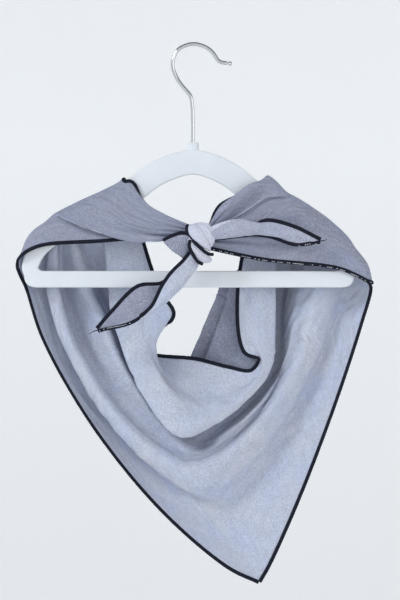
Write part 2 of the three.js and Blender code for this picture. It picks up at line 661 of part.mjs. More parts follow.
// Cloth on a sheet, cut back to leave room for the knot and for its own edging.
function clothPart(name, sheet, stations, places, edges, look) {
  const solid = toSolid(wall(sheet, stations, places));
  const cut = edges.reduce((rest, edge) => rest.subtract(edge.room), solid.subtract(knotSpace));
  addPiece(name, toGeometry(cut), look);
}

function edging(name, sheet, from, to, spans, hemSide) {
  const stations = steps(from, to, spans);
  const points = sheet.rim(stations, hemSide, EDGE_OFFSET);
  const count = Math.round(stations.length * EDGING_FINENESS);
  const solid = toSolid(strand(points, EDGING_DIAMETER, EDGING_SIDES, count)).subtract(knotSpace);
  const room = toSolid(strand(points, EDGING_DIAMETER + 2 * CLEARANCE, EDGING_SIDES, count));
  addPiece(name, toGeometry(solid), EDGING);
  return { solid, room };
}

addPiece('hanger_body', hangerBody(), FLOCK);
addPiece('hanger_hook', hangerHook(), CHROME);

const NECKLINE = edging('neckline_edging', CLOTH, 0, LAST, CLOTH_SPANS, -1);
const LEFT_HEM = edging('left_hem_edging', CLOTH, 0, LOW, CLOTH_SPANS, 1);
const RIGHT_HEM = edging('right_hem_edging', CLOTH, LOW + SPLIT, LAST, CLOTH_SPANS, 1);
const HEMS = [NECKLINE, LEFT_HEM, RIGHT_HEM];
const LEFT_BAND = steps(0, SHOULDER_L - SPLIT, CLOTH_SPANS);
const RIGHT_BAND = steps(SHOULDER_R + SPLIT, LAST, CLOTH_SPANS);
const DRAPE = steps(SHOULDER_L + SPLIT, SHOULDER_R - SPLIT, CLOTH_SPANS);
const BAND_FOLDS = across(0, HEM, 1);
clothPart('left_front_band', CLOTH, LEFT_BAND, BAND_FOLDS, HEMS, OUTER_FACE);
clothPart('right_front_band', CLOTH, RIGHT_BAND, BAND_FOLDS, HEMS, OUTER_FACE);
clothPart('cowl_drape', CLOTH, DRAPE, across(0, COWL_END - FOLD_SPLIT, FOLD_STEPS), [NECKLINE], INNER_FACE);
clothPart('swag_drape', CLOTH, DRAPE, across(COWL_END + FOLD_SPLIT, HEM, FOLD_STEPS), HEMS, INNER_FACE);
addPiece('knot_core', toGeometry(core.subtract(wrapRoom).subtract(turnRoom)), INNER_FACE);
addPiece('knot_wrap', toGeometry(wrapSolid(0)), INNER_FACE);
addPiece('knot_second_turn', toGeometry(turnSolid(0).subtract(wrapRoom)), INNER_FACE);

for (const { name, sheet, hem } of LOOSE_SHEETS) {
  const spans = Array(sheet.last).fill(TAIL_STEPS);
  const edges = [edging(`${name}_upper_edging`, sheet, 0, sheet.last, spans, -1)];
  if (hem) edges.push(edging(`${name}_lower_edging`, sheet, 0, sheet.last - SPLIT, spans, 1));
  clothPart(name, sheet, steps(0, sheet.last, spans), across(0, sheet.folds, 1), edges, OUTER_FACE);
}

export default neckerchief;
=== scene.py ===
"""A triangular neckerchief with overlocked edges, knotted in front over a small coat hanger."""

import math
from collections import namedtuple

import bpy
import numpy as np
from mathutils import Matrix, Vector


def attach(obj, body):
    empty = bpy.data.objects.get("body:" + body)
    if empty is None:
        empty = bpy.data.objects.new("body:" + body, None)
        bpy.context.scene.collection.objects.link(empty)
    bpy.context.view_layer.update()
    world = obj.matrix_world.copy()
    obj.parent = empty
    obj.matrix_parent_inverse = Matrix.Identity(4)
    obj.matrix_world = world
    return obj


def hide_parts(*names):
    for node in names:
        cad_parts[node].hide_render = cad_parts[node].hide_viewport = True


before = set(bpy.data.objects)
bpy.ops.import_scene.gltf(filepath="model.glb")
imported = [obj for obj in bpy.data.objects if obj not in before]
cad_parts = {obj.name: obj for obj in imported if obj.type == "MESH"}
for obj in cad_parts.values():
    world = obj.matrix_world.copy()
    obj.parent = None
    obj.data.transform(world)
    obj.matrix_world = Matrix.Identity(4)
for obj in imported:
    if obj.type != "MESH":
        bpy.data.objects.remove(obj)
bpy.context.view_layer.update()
rng = np.random.default_rng(7)

# Sizes in metres, mostly those of the part's source, where the cloth is thicker
MM = 0.001
HOOK_WIRE = 3.6 * MM
HOOK_BOW = 17.8 * MM
HOOK_LENGTH = 89 * MM
STEM_DEPTH = 9 * MM
BOSS_DIAMETER = 10.8 * MM
BOSS_HEIGHT = 6.5 * MM
HANGER_HEIGHT = 124 * MM
LEFT_REACH = 154 * MM
RIGHT_REACH = 147 * MM
HANGER_THICKNESS = 6 * MM
ARM_WIDTH = 22.5 * MM
ARM_END_WIDTH = 15 * MM
BAR_HEIGHT = 15 * MM
CORNER_RADIUS = 12 * MM
RIGHT_OVERHANG = 6 * MM
CLOTH_HEIGHT = 270 * MM
FOLD_DEPTH = 38 * MM
CLOTH_THICKNESS = 0.9 * MM
EDGING_DIAMETER = 2.6 * MM
CLEARANCE = 0.3 * MM
SHOULDER_TURN = 3.6 * MM
TURN_SLACK = 0.6 * MM
SHOULDER_SLACK = 0.4 * MM
HEM_SLANT = 0.045
HEM_SLANT_GROWTH = 4
HEM_ROUND = 0.75
LIFT = 10 * MM
FRONT_DEPTH = 16 * MM
KNOT_OFFSET = 6.3 * MM
KNOT_DOWN = 79 * MM
KNOT_FORWARD = 15 * MM
KNOT_BITE = 7.5 * MM
LEFT_TAIL_WIDTH = 92.7 * MM
LEFT_TAIL_HEIGHT = 84.6 * MM
RIGHT_TAIL_WIDTH = 108 * MM
RIGHT_TAIL_HEIGHT = 18 * MM
TAIL_DEPTH = 11 * MM

BOSS_TOP = -HOOK_LENGTH + CLEARANCE
HANGER_TOP = BOSS_TOP - BOSS_HEIGHT
BAR_BOTTOM = HANGER_TOP - HANGER_HEIGHT
BAR_TOP = BAR_BOTTOM + BAR_HEIGHT
CLOTH_OFF_HANGER = CLEARANCE + EDGING_DIAMETER / 2 + SHOULDER_SLACK
BEHIND = HANGER_THICKNESS / 2 + CLOTH_OFF_HANGER

# The hanger's upper edge from the top of the arch to the end of an arm: shares of reach and height
ARM_EDGE = [
    (0, 0), (0.08, 0.012), (0.22, 0.076), (0.31, 0.142), (0.40, 0.23), (0.54, 0.324), (0.66, 0.396),
    (0.78, 0.484), (0.865, 0.571), (0.936, 0.658), (0.977, 0.745), (1, 0.855), (0.985, 0.92),
]

# The hook's wire: shares of the hook's length up to the bend, then of its bow
HOOK_STEM = [
    (0, -1.0), (0, -0.86), (-0.03, -0.64), (-0.1, -0.54), (-0.2, -0.505), (-0.39, -0.46), (-0.66, -0.395),
]
HOOK_BEND = [
    (-0.91, -0.62), (-1.03, -0.1), (-0.81, 0.54), (-0.455, 0.79), (0, 0.9), (0.42, 0.83), (0.76, 0.67),
    (1.02, 0.43), (1.33, 0.02), (1.87, -0.09),
]

# The cloth behind the bar, a row for each fold from the neckline out to the hem
Fold = namedtuple("Fold", "name span low bulge deep")
BACK_FOLDS = [
    Fold("neckline", (-0.21, 0.27), (0.02, 0.243), (2, 2), (0.2, 0.3, 0.15)),
    Fold("bowl", (-0.25, 0.31), (0.05, 0.35), (2.2, 2.2), (0.2, 0.26, 0.2)),
    Fold("cowl_crest", (-0.36, 0.40), (-0.01, 0.44), (1.7, 2.3), (0.15, -0.25, 0.15)),
    Fold("cowl_lip", (-0.50, 0.49), (-0.06, 0.502), (1.5, 2.25), (0.25, -0.1, 0.3)),
    Fold("pleat_front", (-0.42, 0.22), (-0.05, 0.39), (1.5, 1.1), (0.55, 0.6, 0.7)),
    Fold("pleat_turn", (-0.46, 0.27), (-0.05, 0.49), (1.5, 1.2), (0.7, 0.72, 0.84)),
    Fold("pleat_back", (-0.42, 0.16), (-0.14, 0.39), (1.5, 1), (0.85, 0.84, 0.98)),
    Fold("first_valley", (-0.55, 0.54), (0.02, 0.52), (1.5, 2.1), (1, 0.95, 1.1)),
    Fold("small_ridge", (-0.62, 0.58), (0.03, 0.546), (1.5, 1.9), (0.5, 0.5, 0.8)),
    Fold("broad_valley", (-0.79, 0.64), (0.01, 0.567), (1.5, 1.8), (0.95, 0.3, 0.4)),
    Fold("swag_crest", (-0.80, 0.73), (-0.01, 0.60), (1.5, 1.6), (0.2, -0.1, 0.15)),
    Fold("swag_lip", (-0.86, 0.84), (0.06, 0.69), (1.5, 1.45), (0.3, 0.1, 0.3)),
    Fold("under_valley", (-0.82, 0.91), (0.13, 0.735), (1.45, 1.3), (0.7, 0.5, 0.6)),
    Fold("outer_strip", (-0.925, 0.985), (0.28, 0.87), (1.39, 1.2), (0.5, 0.35, 0.4)),
    Fold("hem", (-0.98, 1.05), (0.39, 0.985), (1.34, 1.12), (0.15, 0.1, 0.15)),
]
HEM = len(BACK_FOLDS) - 1

# The runs that curl on their way down behind the bar: across, drop, deep
CURLS = {
    "neckline": {
        -1: [(-0.118, 0.088, 0.05), (-0.165, 0.128, 0.08), (-0.25, 0.143, 0.3), (-0.27, 0.22, 0.75)],
        1: [(0.305, 0.213, 0.1), (0.39, 0.24, 0.06), (0.345, 0.28, 0.12), (0.21, 0.27, 0.25)],
    },
    "bowl": {
        -1: [(-0.272, 0.12, 0.08), (-0.248, 0.2, 0.02), (-0.195, 0.275, 0.06), (-0.11, 0.33, 0.16)],
        1: [(0.335, 0.16, 0.14), (0.402, 0.256, 0.1), (0.32, 0.318, 0.12), (0.18, 0.338, 0.2)],
    },
    "cowl_crest": {
        1: [(0.385, 0.165, 0.08), (0.412, 0.278, 0.02), (0.285, 0.362, -0.1), (0.13, 0.423, -0.18)],
    },
    "cowl_lip": {
        1: [(0.488, 0.19, 0.2), (0.47, 0.262, 0.15), (0.33, 0.37, 0), (0.13, 0.458, -0.08)],
    },
    "first_valley": {
        -1: [(-0.49, 0.09, 0.95), (-0.43, 0.2, 0.92), (-0.335, 0.32, 0.88), (-0.18, 0.44, 0.92)],
        1: [(0.515, 0.19, 0.95), (0.495, 0.265, 0.85), (0.38, 0.37, 0.7), (0.15, 0.475, 0.75)],
    },
    "small_ridge": {
        -1: [(-0.53, 0.1, 0.45), (-0.455, 0.205, 0.4), (-0.36, 0.31, 0.38), (-0.19, 0.45, 0.42)],
        1: [(0.553, 0.19, 0.6), (0.535, 0.265, 0.45), (0.42, 0.372, 0.2), (0.19, 0.49, 0.2)],
    },
}
RUN_ANGLES = (0, 18, 37, 56, 75)

# The cloth in front of the arms
Front = namedtuple("Front", "fold along lift near half knot out")
FRONT_ROWS = {
    -1: [
        Front(0, 0.335, 0.05, (-0.36, 0.24), (-0.27, 0.40), 0.585, (0.05, 0.2, 0.45)),
        Front(1, 0.36, 0, (-0.39, 0.27), (-0.24, 0.425), 0.57, (0.15, 0.4, 0.7)),
        Front(6, 0.52, 0.1, (-0.57, 0.39), (-0.35, 0.54), 0.61, (0.25, 0.6, 0.85)),
        Front(11, 0.60, 0.25, (-0.76, 0.50), (-0.35, 0.67), 0.645, (0.35, 0.6, 0.85)),
        Front(12, 0.64, 0.2, (-0.74, 0.465), (-0.40, 0.585), 0.61, (0.08, 0.2, 0.55)),
        Front(13, 0.745, 0.35, (-0.84, 0.59), (-0.46, 0.60), 0.605, (0.1, 0.1, 0.4)),
        Front(14, 0.905, 0.2, (-0.90, 0.695), (-0.52, 0.655), 0.60, (0.2, 0.1, 0.25)),
    ],
    1: [
        Front(0, 0.345, 0.2, (0.28, 0.32), (0.16, 0.41), 0.565, (0.2, 0.5, 0.5)),
        Front(1.5, 0.35, 0.9, (0.34, 0.24), (0.24, 0.395), 0.575, (0.75, 0.9, 0.85)),
        Front(3, 0.43, 0.2, (0.43, 0.35), (0.285, 0.46), 0.60, (0.08, 0.25, 0.5)),
        Front(7, 0.56, 0.05, (0.62, 0.47), (0.41, 0.54), 0.63, (0.6, 0.6, 0.6)),
        Front(12, 0.81, 0.15, (0.84, 0.70), (0.46, 0.70), 0.67, (0.3, 0.35, 0.45)),
        Front(14, 1.0, 1.5, (0.86, 0.855), (0.41, 0.79), 0.71, (0.12, 0.25, 0.35)),
    ],
}

# The tails and the flap, a row for each line along the cloth: across, down and out at each section
LEFT_TAIL = [
    # Front edge
    [(-0.02, 0.06, 0.2), (-0.146, 0.247, 0.5), (-0.27, 0.385, 0.85), (-0.356, 0.522, 1),
     (-0.469, 0.752, 0.9), (-0.68, 0.903, 0.7), (-0.974, 0.98, 0.48)],
    # Strip
    [(0, 0.08, 0.3), (-0.09, 0.28, 0.6), (-0.18, 0.41, 0.95), (-0.265, 0.545, 1.15),
     (-0.45, 0.765, 0.95), (-0.69, 0.893, 0.62), (-0.975, 0.978, 0.47)],
    # Roll
    [(0.02, 0.1, 0.2), (-0.02, 0.31, 0.4), (-0.10, 0.43, 0.65), (-0.205, 0.57, 0.8),
     (-0.43, 0.775, 0.75), (-0.70, 0.88, 0.54), (-0.976, 0.976, 0.46)],
    # Under left
    [(-0.02, 0.07, 0.1), (-0.13, 0.26, 0.25), (-0.24, 0.39, 0.45), (-0.33, 0.53, 0.6),
     (-0.476, 0.733, 0.55), (-0.715, 0.866, 0.48), (-0.977, 0.974, 0.45)],
    # Under right
    [(0.01, 0.1, 0.15), (-0.04, 0.3, 0.25), (-0.12, 0.42, 0.3), (-0.22, 0.56, 0.35),
     (-0.50, 0.696, 0.43), (-0.73, 0.852, 0.44), (-0.978, 0.972, 0.44)],
    # Leaf
    [(-0.01, 0.08, -0.05), (-0.09, 0.27, 0), (-0.20, 0.39, 0.05), (-0.30, 0.52, 0.1),
     (-0.544, 0.632, 0.3), (-0.765, 0.83, 0.4), (-0.979, 0.97, 0.44)],
    # Back edge
    [(-0.03, 0.05, -0.3), (-0.12, 0.24, -0.25), (-0.24, 0.36, -0.15), (-0.36, 0.49, 0),
     (-0.592, 0.527, 0.2), (-0.84, 0.79, 0.35), (-0.98, 0.968, 0.43)],
]
RIGHT_TAIL = [
    # Upper edge
    [(0.03, 0, 0.45), (0.19, -0.3, 0.55), (0.33, -0.5, 0.6), (0.43, -0.57, 0.65),
     (0.56, -0.75, 0.85), (0.78, -0.42, 0.8), (0.985, 0.18, 0.62)],
    # Top fold
    [(0.04, -0.3, 0.65), (0.2, -0.71, 0.8), (0.33, -0.845, 0.95), (0.445, -0.67, 1),
     (0.57, -0.55, 0.87), (0.785, -0.28, 0.75), (0.984, 0.19, 0.61)],
    # Face
    [(0.04, -0.1, 0.9), (0.2, -0.3, 1.1), (0.33, -0.42, 1.15), (0.45, -0.35, 1),
     (0.58, -0.3, 0.75), (0.79, -0.05, 0.65), (0.982, 0.2, 0.6)],
    # Low fold
    [(0.04, 0.15, 0.6), (0.2, 0.1, 0.75), (0.34, -0.02, 0.75), (0.46, -0.09, 0.65),
     (0.59, -0.03, 0.55), (0.79, 0.18, 0.5), (0.98, 0.21, 0.59)],
    # Back
    [(0.03, -0.25, 0.2), (0.19, -0.62, 0.3), (0.32, -0.72, 0.35), (0.45, -0.55, 0.4),
     (0.58, -0.3, 0.4), (0.79, 0.26, 0.46), (0.982, 0.22, 0.58)],
    # Low edge
    [(0.03, 0.1, -0.15), (0.19, 0.02, -0.1), (0.33, -0.1, -0.05), (0.45, -0.14, 0.05),
     (0.58, -0.04, 0.2), (0.78, 0.34, 0.42), (0.985, 0.23, 0.57)],
]
LEFT_FLAP = [
    # Top edge
    [(-0.35, 0.047, 0.35), (-0.272, 0.004, 0.4), (-0.175, -0.028, 0.45),
     (-0.097, -0.012, 0.5), (-0.03, 0.036, 0.4)],
    # Middle
    [(-0.345, 0.057, 0.38), (-0.27, 0.07, 0.5), (-0.19, 0.08, 0.5),
     (-0.12, 0.09, 0.4), (-0.05, 0.11, 0.15)],
    # Foot
    [(-0.34, 0.065, 0.35), (-0.272, 0.143, 0.3), (-0.21, 0.19, 0.25),
     (-0.15, 0.23, 0.15), (-0.08, 0.2, 0)],
]

# The stations of the left shoulder, the lowest point, the right shoulder and the far end of a fold
SHOULDER_L, LOW, SHOULDER_R, LAST = 4, 11, 18, 22

# The photograph: a pixel's size, the origin's pixel, the middle one and the height
PX = 0.9 * MM
ORIGIN_PX, ORIGIN_PY = 193, 44
MIDDLE_PX, MIDDLE_PY = 200, 300
PHOTO_HEIGHT = 600

SAME_POINT = 1e-6
NO_LENGTH = 1e-12
TANGENT_STEP = 0.02
RELAX_ROUNDS = 2
RELAX_SHARE = 0.5


def place(px, py, y):
    """The point seen at a pixel of the photograph, at a depth in metres."""
    return np.array([(px - ORIGIN_PX) * PX, y, (ORIGIN_PY - py) * PX])


def mix(a, b, t):
    return a + (b - a) * t


def spline(points, where):
    """A centripetal Catmull-Rom curve through points, read at places from 0 to their number less one."""
    points = np.asarray(points, float)
    count = points.shape[-2]
    where = np.clip(np.asarray(where, float), 0, count - 1)
    i = np.minimum(where.astype(int), count - 2)
    t = (where - i)[:, None]
    first = 2 * points[..., :1, :] - points[..., 1:2, :]
    last = 2 * points[..., -1:, :] - points[..., -2:-1, :]
    padded = np.concatenate([first, points, last], axis=-2)
    p0, p1, p2, p3 = (padded[..., i + k, :] for k in range(4))
    gaps = [np.sqrt(np.linalg.norm(b - a, axis=-1, keepdims=True)) for a, b in ((p0, p1), (p1, p2), (p2, p3))]
    d1 = np.maximum(gaps[1], SAME_POINT)
    d0, d2 = (np.where(d < SAME_POINT, d1, d) for d in (gaps[0], gaps[2]))
    m1 = ((p1 - p0) / d0 - (p2 - p0) / (d0 + d1) + (p2 - p1) / d1) * d1
    m2 = ((p2 - p1) / d1 - (p3 - p1) / (d1 + d2) + (p3 - p2) / d2) * d1
    t2, t3 = t * t, t * t * t
    return (2 * t3 - 3 * t2 + 1) * p1 + (t3 - 2 * t2 + t) * m1 + (3 * t2 - 2 * t3) * p2 + (t3 - t2) * m2


def unit(v):
    return v / np.maximum(np.linalg.norm(v, axis=-1, keepdims=True), NO_LENGTH)


def direction(guide, where):
    """The unit tangents of the curve through the guide's points."""
    return unit(spline(guide, where + TANGENT_STEP) - spline(guide, where - TANGENT_STEP))


def lengths_along(path):
    """Each point's distance from the first, measured along the path."""
    return np.concatenate([[0], np.linalg.norm(np.diff(path, axis=0), axis=1).cumsum()])


# The hanger's arms
def arm_points(side, along, height):
    """Points on an arm's upper edge at shares of its length, moved off it by heights."""
    reach = LEFT_REACH if side < 0 else RIGHT_REACH
    guide = np.array([[side * a * reach, 0, HANGER_TOP - d * HANGER_HEIGHT] for a, d in ARM_EDGE])
    where = np.atleast_1d(along) * (len(ARM_EDGE) - 1)
    point = spline(guide, where)
    tangent = direction(guide, where)
    outward = np.stack([-side * tangent[:, 2], 0 * where, side * tangent[:, 0]], 1)
    return point + outward * np.atleast_1d(height)[:, None]


# The cloth's guide points, much as in the part's source
def front_row(side, fold):
    table = FRONT_ROWS[side]
    i = max(k for k in range(len(table) - 1) if table[k].fold <= fold)
    a, b = table[i], table[i + 1]
    t = (fold - a.fold) / (b.fold - a.fold)
    return Front(*(mix(np.array(p, float), np.array(q, float), t) for p, q in zip(a, b)))


def cloth_across(share):
    return share * (LEFT_REACH if share < 0 else RIGHT_REACH + RIGHT_OVERHANG)


def in_front(across, down, out):
    return [cloth_across(across), -BEHIND - out * FRONT_DEPTH, HANGER_TOP - down * HANGER_HEIGHT]


def front_stations(side, fold):
    row = front_row(side, fold)
    end = in_front(0, row.knot, row.out[2])
    end[0] = KNOT_OFFSET + side * KNOT_BITE
    lift = CLOTH_OFF_HANGER + row.lift * LIFT
    top = arm_points(side, row.along, lift)[0]
    slant = HEM_SLANT * (fold / HEM) ** HEM_SLANT_GROWTH if side < 0 else 0
    turn = SHOULDER_TURN * (1 - HEM_ROUND * slant / HEM_SLANT)
    before = arm_points(side, row.along - slant, lift - turn)[0]
    behind = arm_points(side, min(row.along + slant, 1), lift - turn)[0]
    before[1] = -BEHIND - TURN_SLACK
    behind[1] = BEHIND + TURN_SLACK
    half = in_front(*row.half, row.out[1])
    return [end, half, in_front(*row.near, row.out[0]), before, list(top), behind]


def behind_bar(across, drop, deep):
    return [cloth_across(across), BEHIND + deep * FOLD_DEPTH, BAR_BOTTOM - drop * CLOTH_HEIGHT]


def hanging_side(row, side):
    end = 0 if side < 0 else 1
    start, bulge, deep = row.span[end], row.bulge[end], row.deep[2 * end]
    curls = CURLS.get(row.name, {}).get(side)
    if curls:
        return [behind_bar(start, 0, deep)] + [behind_bar(*c) for c in curls]
    low, drop = row.low
    points = []
    for degrees in RUN_ANGLES:
        angle = math.radians(degrees)
        across = mix(low, start, math.cos(angle) ** (2 / bulge))
        down = drop * math.sin(angle) ** (2 / bulge)
        points.append(behind_bar(across, down, mix(deep, row.deep[1], math.sin(angle) ** 2)))
    return points


def cloth_rows():
    rows = []
    for fold, row in enumerate(BACK_FOLDS):
        left = front_stations(-1, fold) + hanging_side(row, -1)
        right = front_stations(1, fold) + hanging_side(row, 1)
        rows.append(left + [behind_bar(*row.low, row.deep[1])] + right[::-1])
    return np.array(rows)


def cloth_grid(rows, stations, folds, sharp=None):
    """The cloth's points at stations along the folds and at places across them."""
    along = spline(rows, stations)
    if sharp:
        fold, station = sharp
        first = stations <= station
        before = spline(rows[fold][: station + 1], stations[first])
        after = spline(rows[fold][station:], stations[~first] - station)
        along[fold] = np.concatenate([before, after])
    return spline(along.transpose(1, 0, 2), folds)


def relaxed(grid, pinned):
    """The grid with its creases softened. Pinned is 1 where a point stays."""
    free = (1 - pinned)[..., None]
    for _ in range(RELAX_ROUNDS):
        moved = grid.copy()
        moved[1:-1, 1:-1] = (grid[:-2, 1:-1] + grid[2:, 1:-1] + grid[1:-1, :-2] + grid[1:-1, 2:]) / 4
        grid = grid + (moved - grid) * RELAX_SHARE * free
    return grid


def grid_normals(grid):
    along = np.gradient(grid, axis=0)
    across = np.gradient(grid, axis=1)
    return unit(np.cross(along, across))


# Objects and materials
def new_object(name, points, faces, materials, material_of=None):
    mesh = bpy.data.meshes.new(name)
    mesh.from_pydata([tuple(p) for p in points], [], [tuple(f) for f in faces])
    for material in materials:
        mesh.materials.append(material)
    if material_of is not None:
        mesh.polygons.foreach_set("material_index", np.asarray(material_of, np.int32))
    mesh.polygons.foreach_set("use_smooth", np.full(len(mesh.polygons), True))
    mesh.update()
    obj = bpy.data.objects.new(name, mesh)
    bpy.context.scene.collection.objects.link(obj)
    return obj


def add_cloth_map(obj, places):
    """Stores where each vertex lies on the flat cloth, in metres, for the weave."""
    layer = obj.data.uv_layers.new(name="cloth")
    loops = np.zeros(len(obj.data.loops), np.int32)
    obj.data.loops.foreach_get("vertex_index", loops)
    layer.uv.foreach_set("vector", places[loops].astype(np.float32).ravel())


def flat_places(grid, middle):
    """Each grid point's distances along and across the flat cloth."""
    along = np.linalg.norm(np.diff(grid, axis=0), axis=-1).cumsum(0)
    along = np.concatenate([np.zeros((1, grid.shape[1])), along])
    across = np.linalg.norm(np.diff(grid, axis=1), axis=-1).cumsum(1)
    across = np.concatenate([np.zeros((grid.shape[0], 1)), across], 1)
    return np.stack([along - along[middle], across], -1)


def cloth_shell(name, grid, thickness, inner, outer, middle=0, turned=None):
    """A closed wall on a grid. Its outer face is on the side that along cross across points to.
    Turned marks the quads whose outer face shows the inner one, where the cloth is folded over; on the right
    tail they carry painted light and shade."""
    count, width = grid.shape[:2]
    normals = grid_normals(grid)
    top, under = grid + normals * thickness / 2, grid - normals * thickness / 2
    points = np.concatenate([top.reshape(-1, 3), under.reshape(-1, 3)])
    total = count * width
    i, j = np.meshgrid(np.arange(count - 1), np.arange(width - 1), indexing="ij")
    a = (i * width + j).ravel()
    upper = np.stack([a, a + width, a + width + 1, a + 1], 1)
    lower = np.stack([a, a + 1, a + width + 1, a + width], 1) + total
    i = np.arange(count - 1) * width
    j = np.arange(width - 1)
    start = np.stack([i, i + total, i + total + width, i + width], 1)
    end = np.stack([i, i + width, i + total + width, i + total], 1) + width - 1
    near = np.stack([j, j + 1, j + total + 1, j + total], 1)
    far = np.stack([j, j + total, j + total + 1, j + 1], 1) + (count - 1) * width
    rim = np.concatenate([start, end, near, far])
    faces = np.concatenate([upper, lower, rim])
    swapped = np.zeros(len(upper), int) if turned is None else turned.ravel().astype(int)
    material_of = np.concatenate([swapped, 1 - swapped, np.zeros(len(rim), int)])
    obj = new_object(name, points, faces, (outer, inner), material_of)
    flat = flat_places(grid, middle).reshape(-1, 2)
    add_cloth_map(obj, np.concatenate([flat, flat]))
    return obj


def half_widths(width, count):
    """Half of a width for each point, from one number or a number for each."""
    return np.broadcast_to(np.asarray(width, float).reshape(-1, 1), (count, 1)) / 2


def tube(name, path, sides, material, wide, thick=None, across=None, ripple=None):
    """A strand along a path, with an oval section whose long side lies along across."""
    path = np.asarray(path, float)
    tangent = unit(np.gradient(path, axis=0))
    if across is None:
        across = np.tile([0.0, 1.0, 0.0], (len(path), 1))
    side = unit(across - tangent * (across * tangent).sum(-1, keepdims=True))
    up = np.cross(tangent, side)
    angle = np.arange(sides) / sides * 2 * math.pi
    scale = np.ones((len(path), sides)) if ripple is None else ripple(len(path), angle)
    wide = half_widths(wide, len(path))
    thick = wide if thick is None else half_widths(thick, len(path))
    ring = (
        path[:, None]
        + side[:, None] * (np.cos(angle)[None] * wide * scale)[..., None]
        + up[:, None] * (np.sin(angle)[None] * thick * scale)[..., None]
    )
    points = np.concatenate([ring.reshape(-1, 3), path[:1], path[-1:]])
    i, j = np.meshgrid(np.arange(len(path) - 1), np.arange(sides), indexing="ij")
    a, b = (i * sides + j).ravel(), (i * sides + (j + 1) % sides).ravel()
    faces = [tuple(f) for f in np.stack([a, b, b + sides, a + sides], 1)]
    last, first_cap = (len(path) - 1) * sides, len(path) * sides
    for k in range(sides):
        faces.append((first_cap, (k + 1) % sides, k))
        faces.append((first_cap + 1, last + k, last + (k + 1) % sides))
    obj = new_object(name, points, faces, (material,))
    length = lengths_along(path)
    around = (angle[None] * wide).ravel()
    ends = [(length[0], 0), (length[-1], 0)]
    add_cloth_map(obj, np.concatenate([np.stack([np.repeat(length, sides), around], 1), ends]))
    return obj


# The sockets of a node that mixes two colours
MIX_SHARE, MIX_FIRST, MIX_SECOND, MIX_COLOUR = 0, 6, 7, 2


class Nodes:
    """A short way to write a material's nodes."""

    def __init__(self, name):
        self.material = bpy.data.materials.new(name)
        self.material.use_nodes = True
        self.tree = self.material.node_tree
        self.shader = self.tree.nodes["Principled BSDF"]

    def add(self, kind, values=None, **settings):
        node = self.tree.nodes.new(kind)
        for key, value in settings.items():
            setattr(node, key, value)
        for key, value in (values or {}).items():
            if isinstance(value, bpy.types.NodeSocket):
                self.tree.links.new(value, node.inputs[key])
            else:
                node.inputs[key].default_value = value
        return node

    def math(self, operation, a, b=0.0, c=0.0):
        return self.add("ShaderNodeMath", {0: a, 1: b, 2: c}, operation=operation).outputs[0]

    def noise(self, vector, scale, detail=2.0, roughness=0.5):
        values = {"Vector": vector, "Scale": scale, "Detail": detail, "Roughness": roughness}
        return self.add("ShaderNodeTexNoise", values).outputs["Fac"]

    def stretched(self, vector, angle, scale):
        """The vector turned about Z and then scaled, for marks that run one way."""
        turned = self.add(
            "ShaderNodeVectorRotate", {"Vector": vector, "Angle": angle}, rotation_type="Z_AXIS"
        ).outputs[0]
        return self.add("ShaderNodeVectorMath", {0: turned, 1: scale}, operation="MULTIPLY").outputs[0]

    def blend(self, share, a, b):
        values = {MIX_SHARE: share, MIX_FIRST: a, MIX_SECOND: b}
        return self.add("ShaderNodeMix", values, data_type="RGBA").outputs[MIX_COLOUR]

    def set(self, values):
        for key, value in values.items():
            self.shader.inputs[key].default_value = value

    def link(self, value, key):
        self.tree.links.new(value, self.shader.inputs[key])

    def bump(self, height, distance, strength=1.0):
        values = {"Height": height, "Distance": distance, "Strength": strength}
        self.link(self.add("ShaderNodeBump", values).outputs[0], "Normal")


# The cloth's weave: the scales of its marks, and the angles that they run at
THREADS = (2600, 160, 1)
THREAD_ANGLE = math.radians(45)
SPECKLES = 620.0
PATCHES = 90.0
RIBS = 180.0
RIB_ANGLE = math.radians(20)
RIB_BEND = {"Distortion": 0.3, "Detail": 1.0, "Detail Scale": 3.0}
TINTS = 26.0
UNEVEN = 0.6

# What each of them adds to the shade: a factor and an offset
THREAD_SHADE = (0.9, -0.9)
SPECKLE_SHADE = (1.3, -0.65)
PATCH_SHADE = (0.55, -0.27)
TINT_SHADE = (2.4, -0.7)
MIDDLE_SHADE = 0.5
WEAVE_HEIGHT = 0.12 * MM
WEAVE_STRENGTH = 0.6


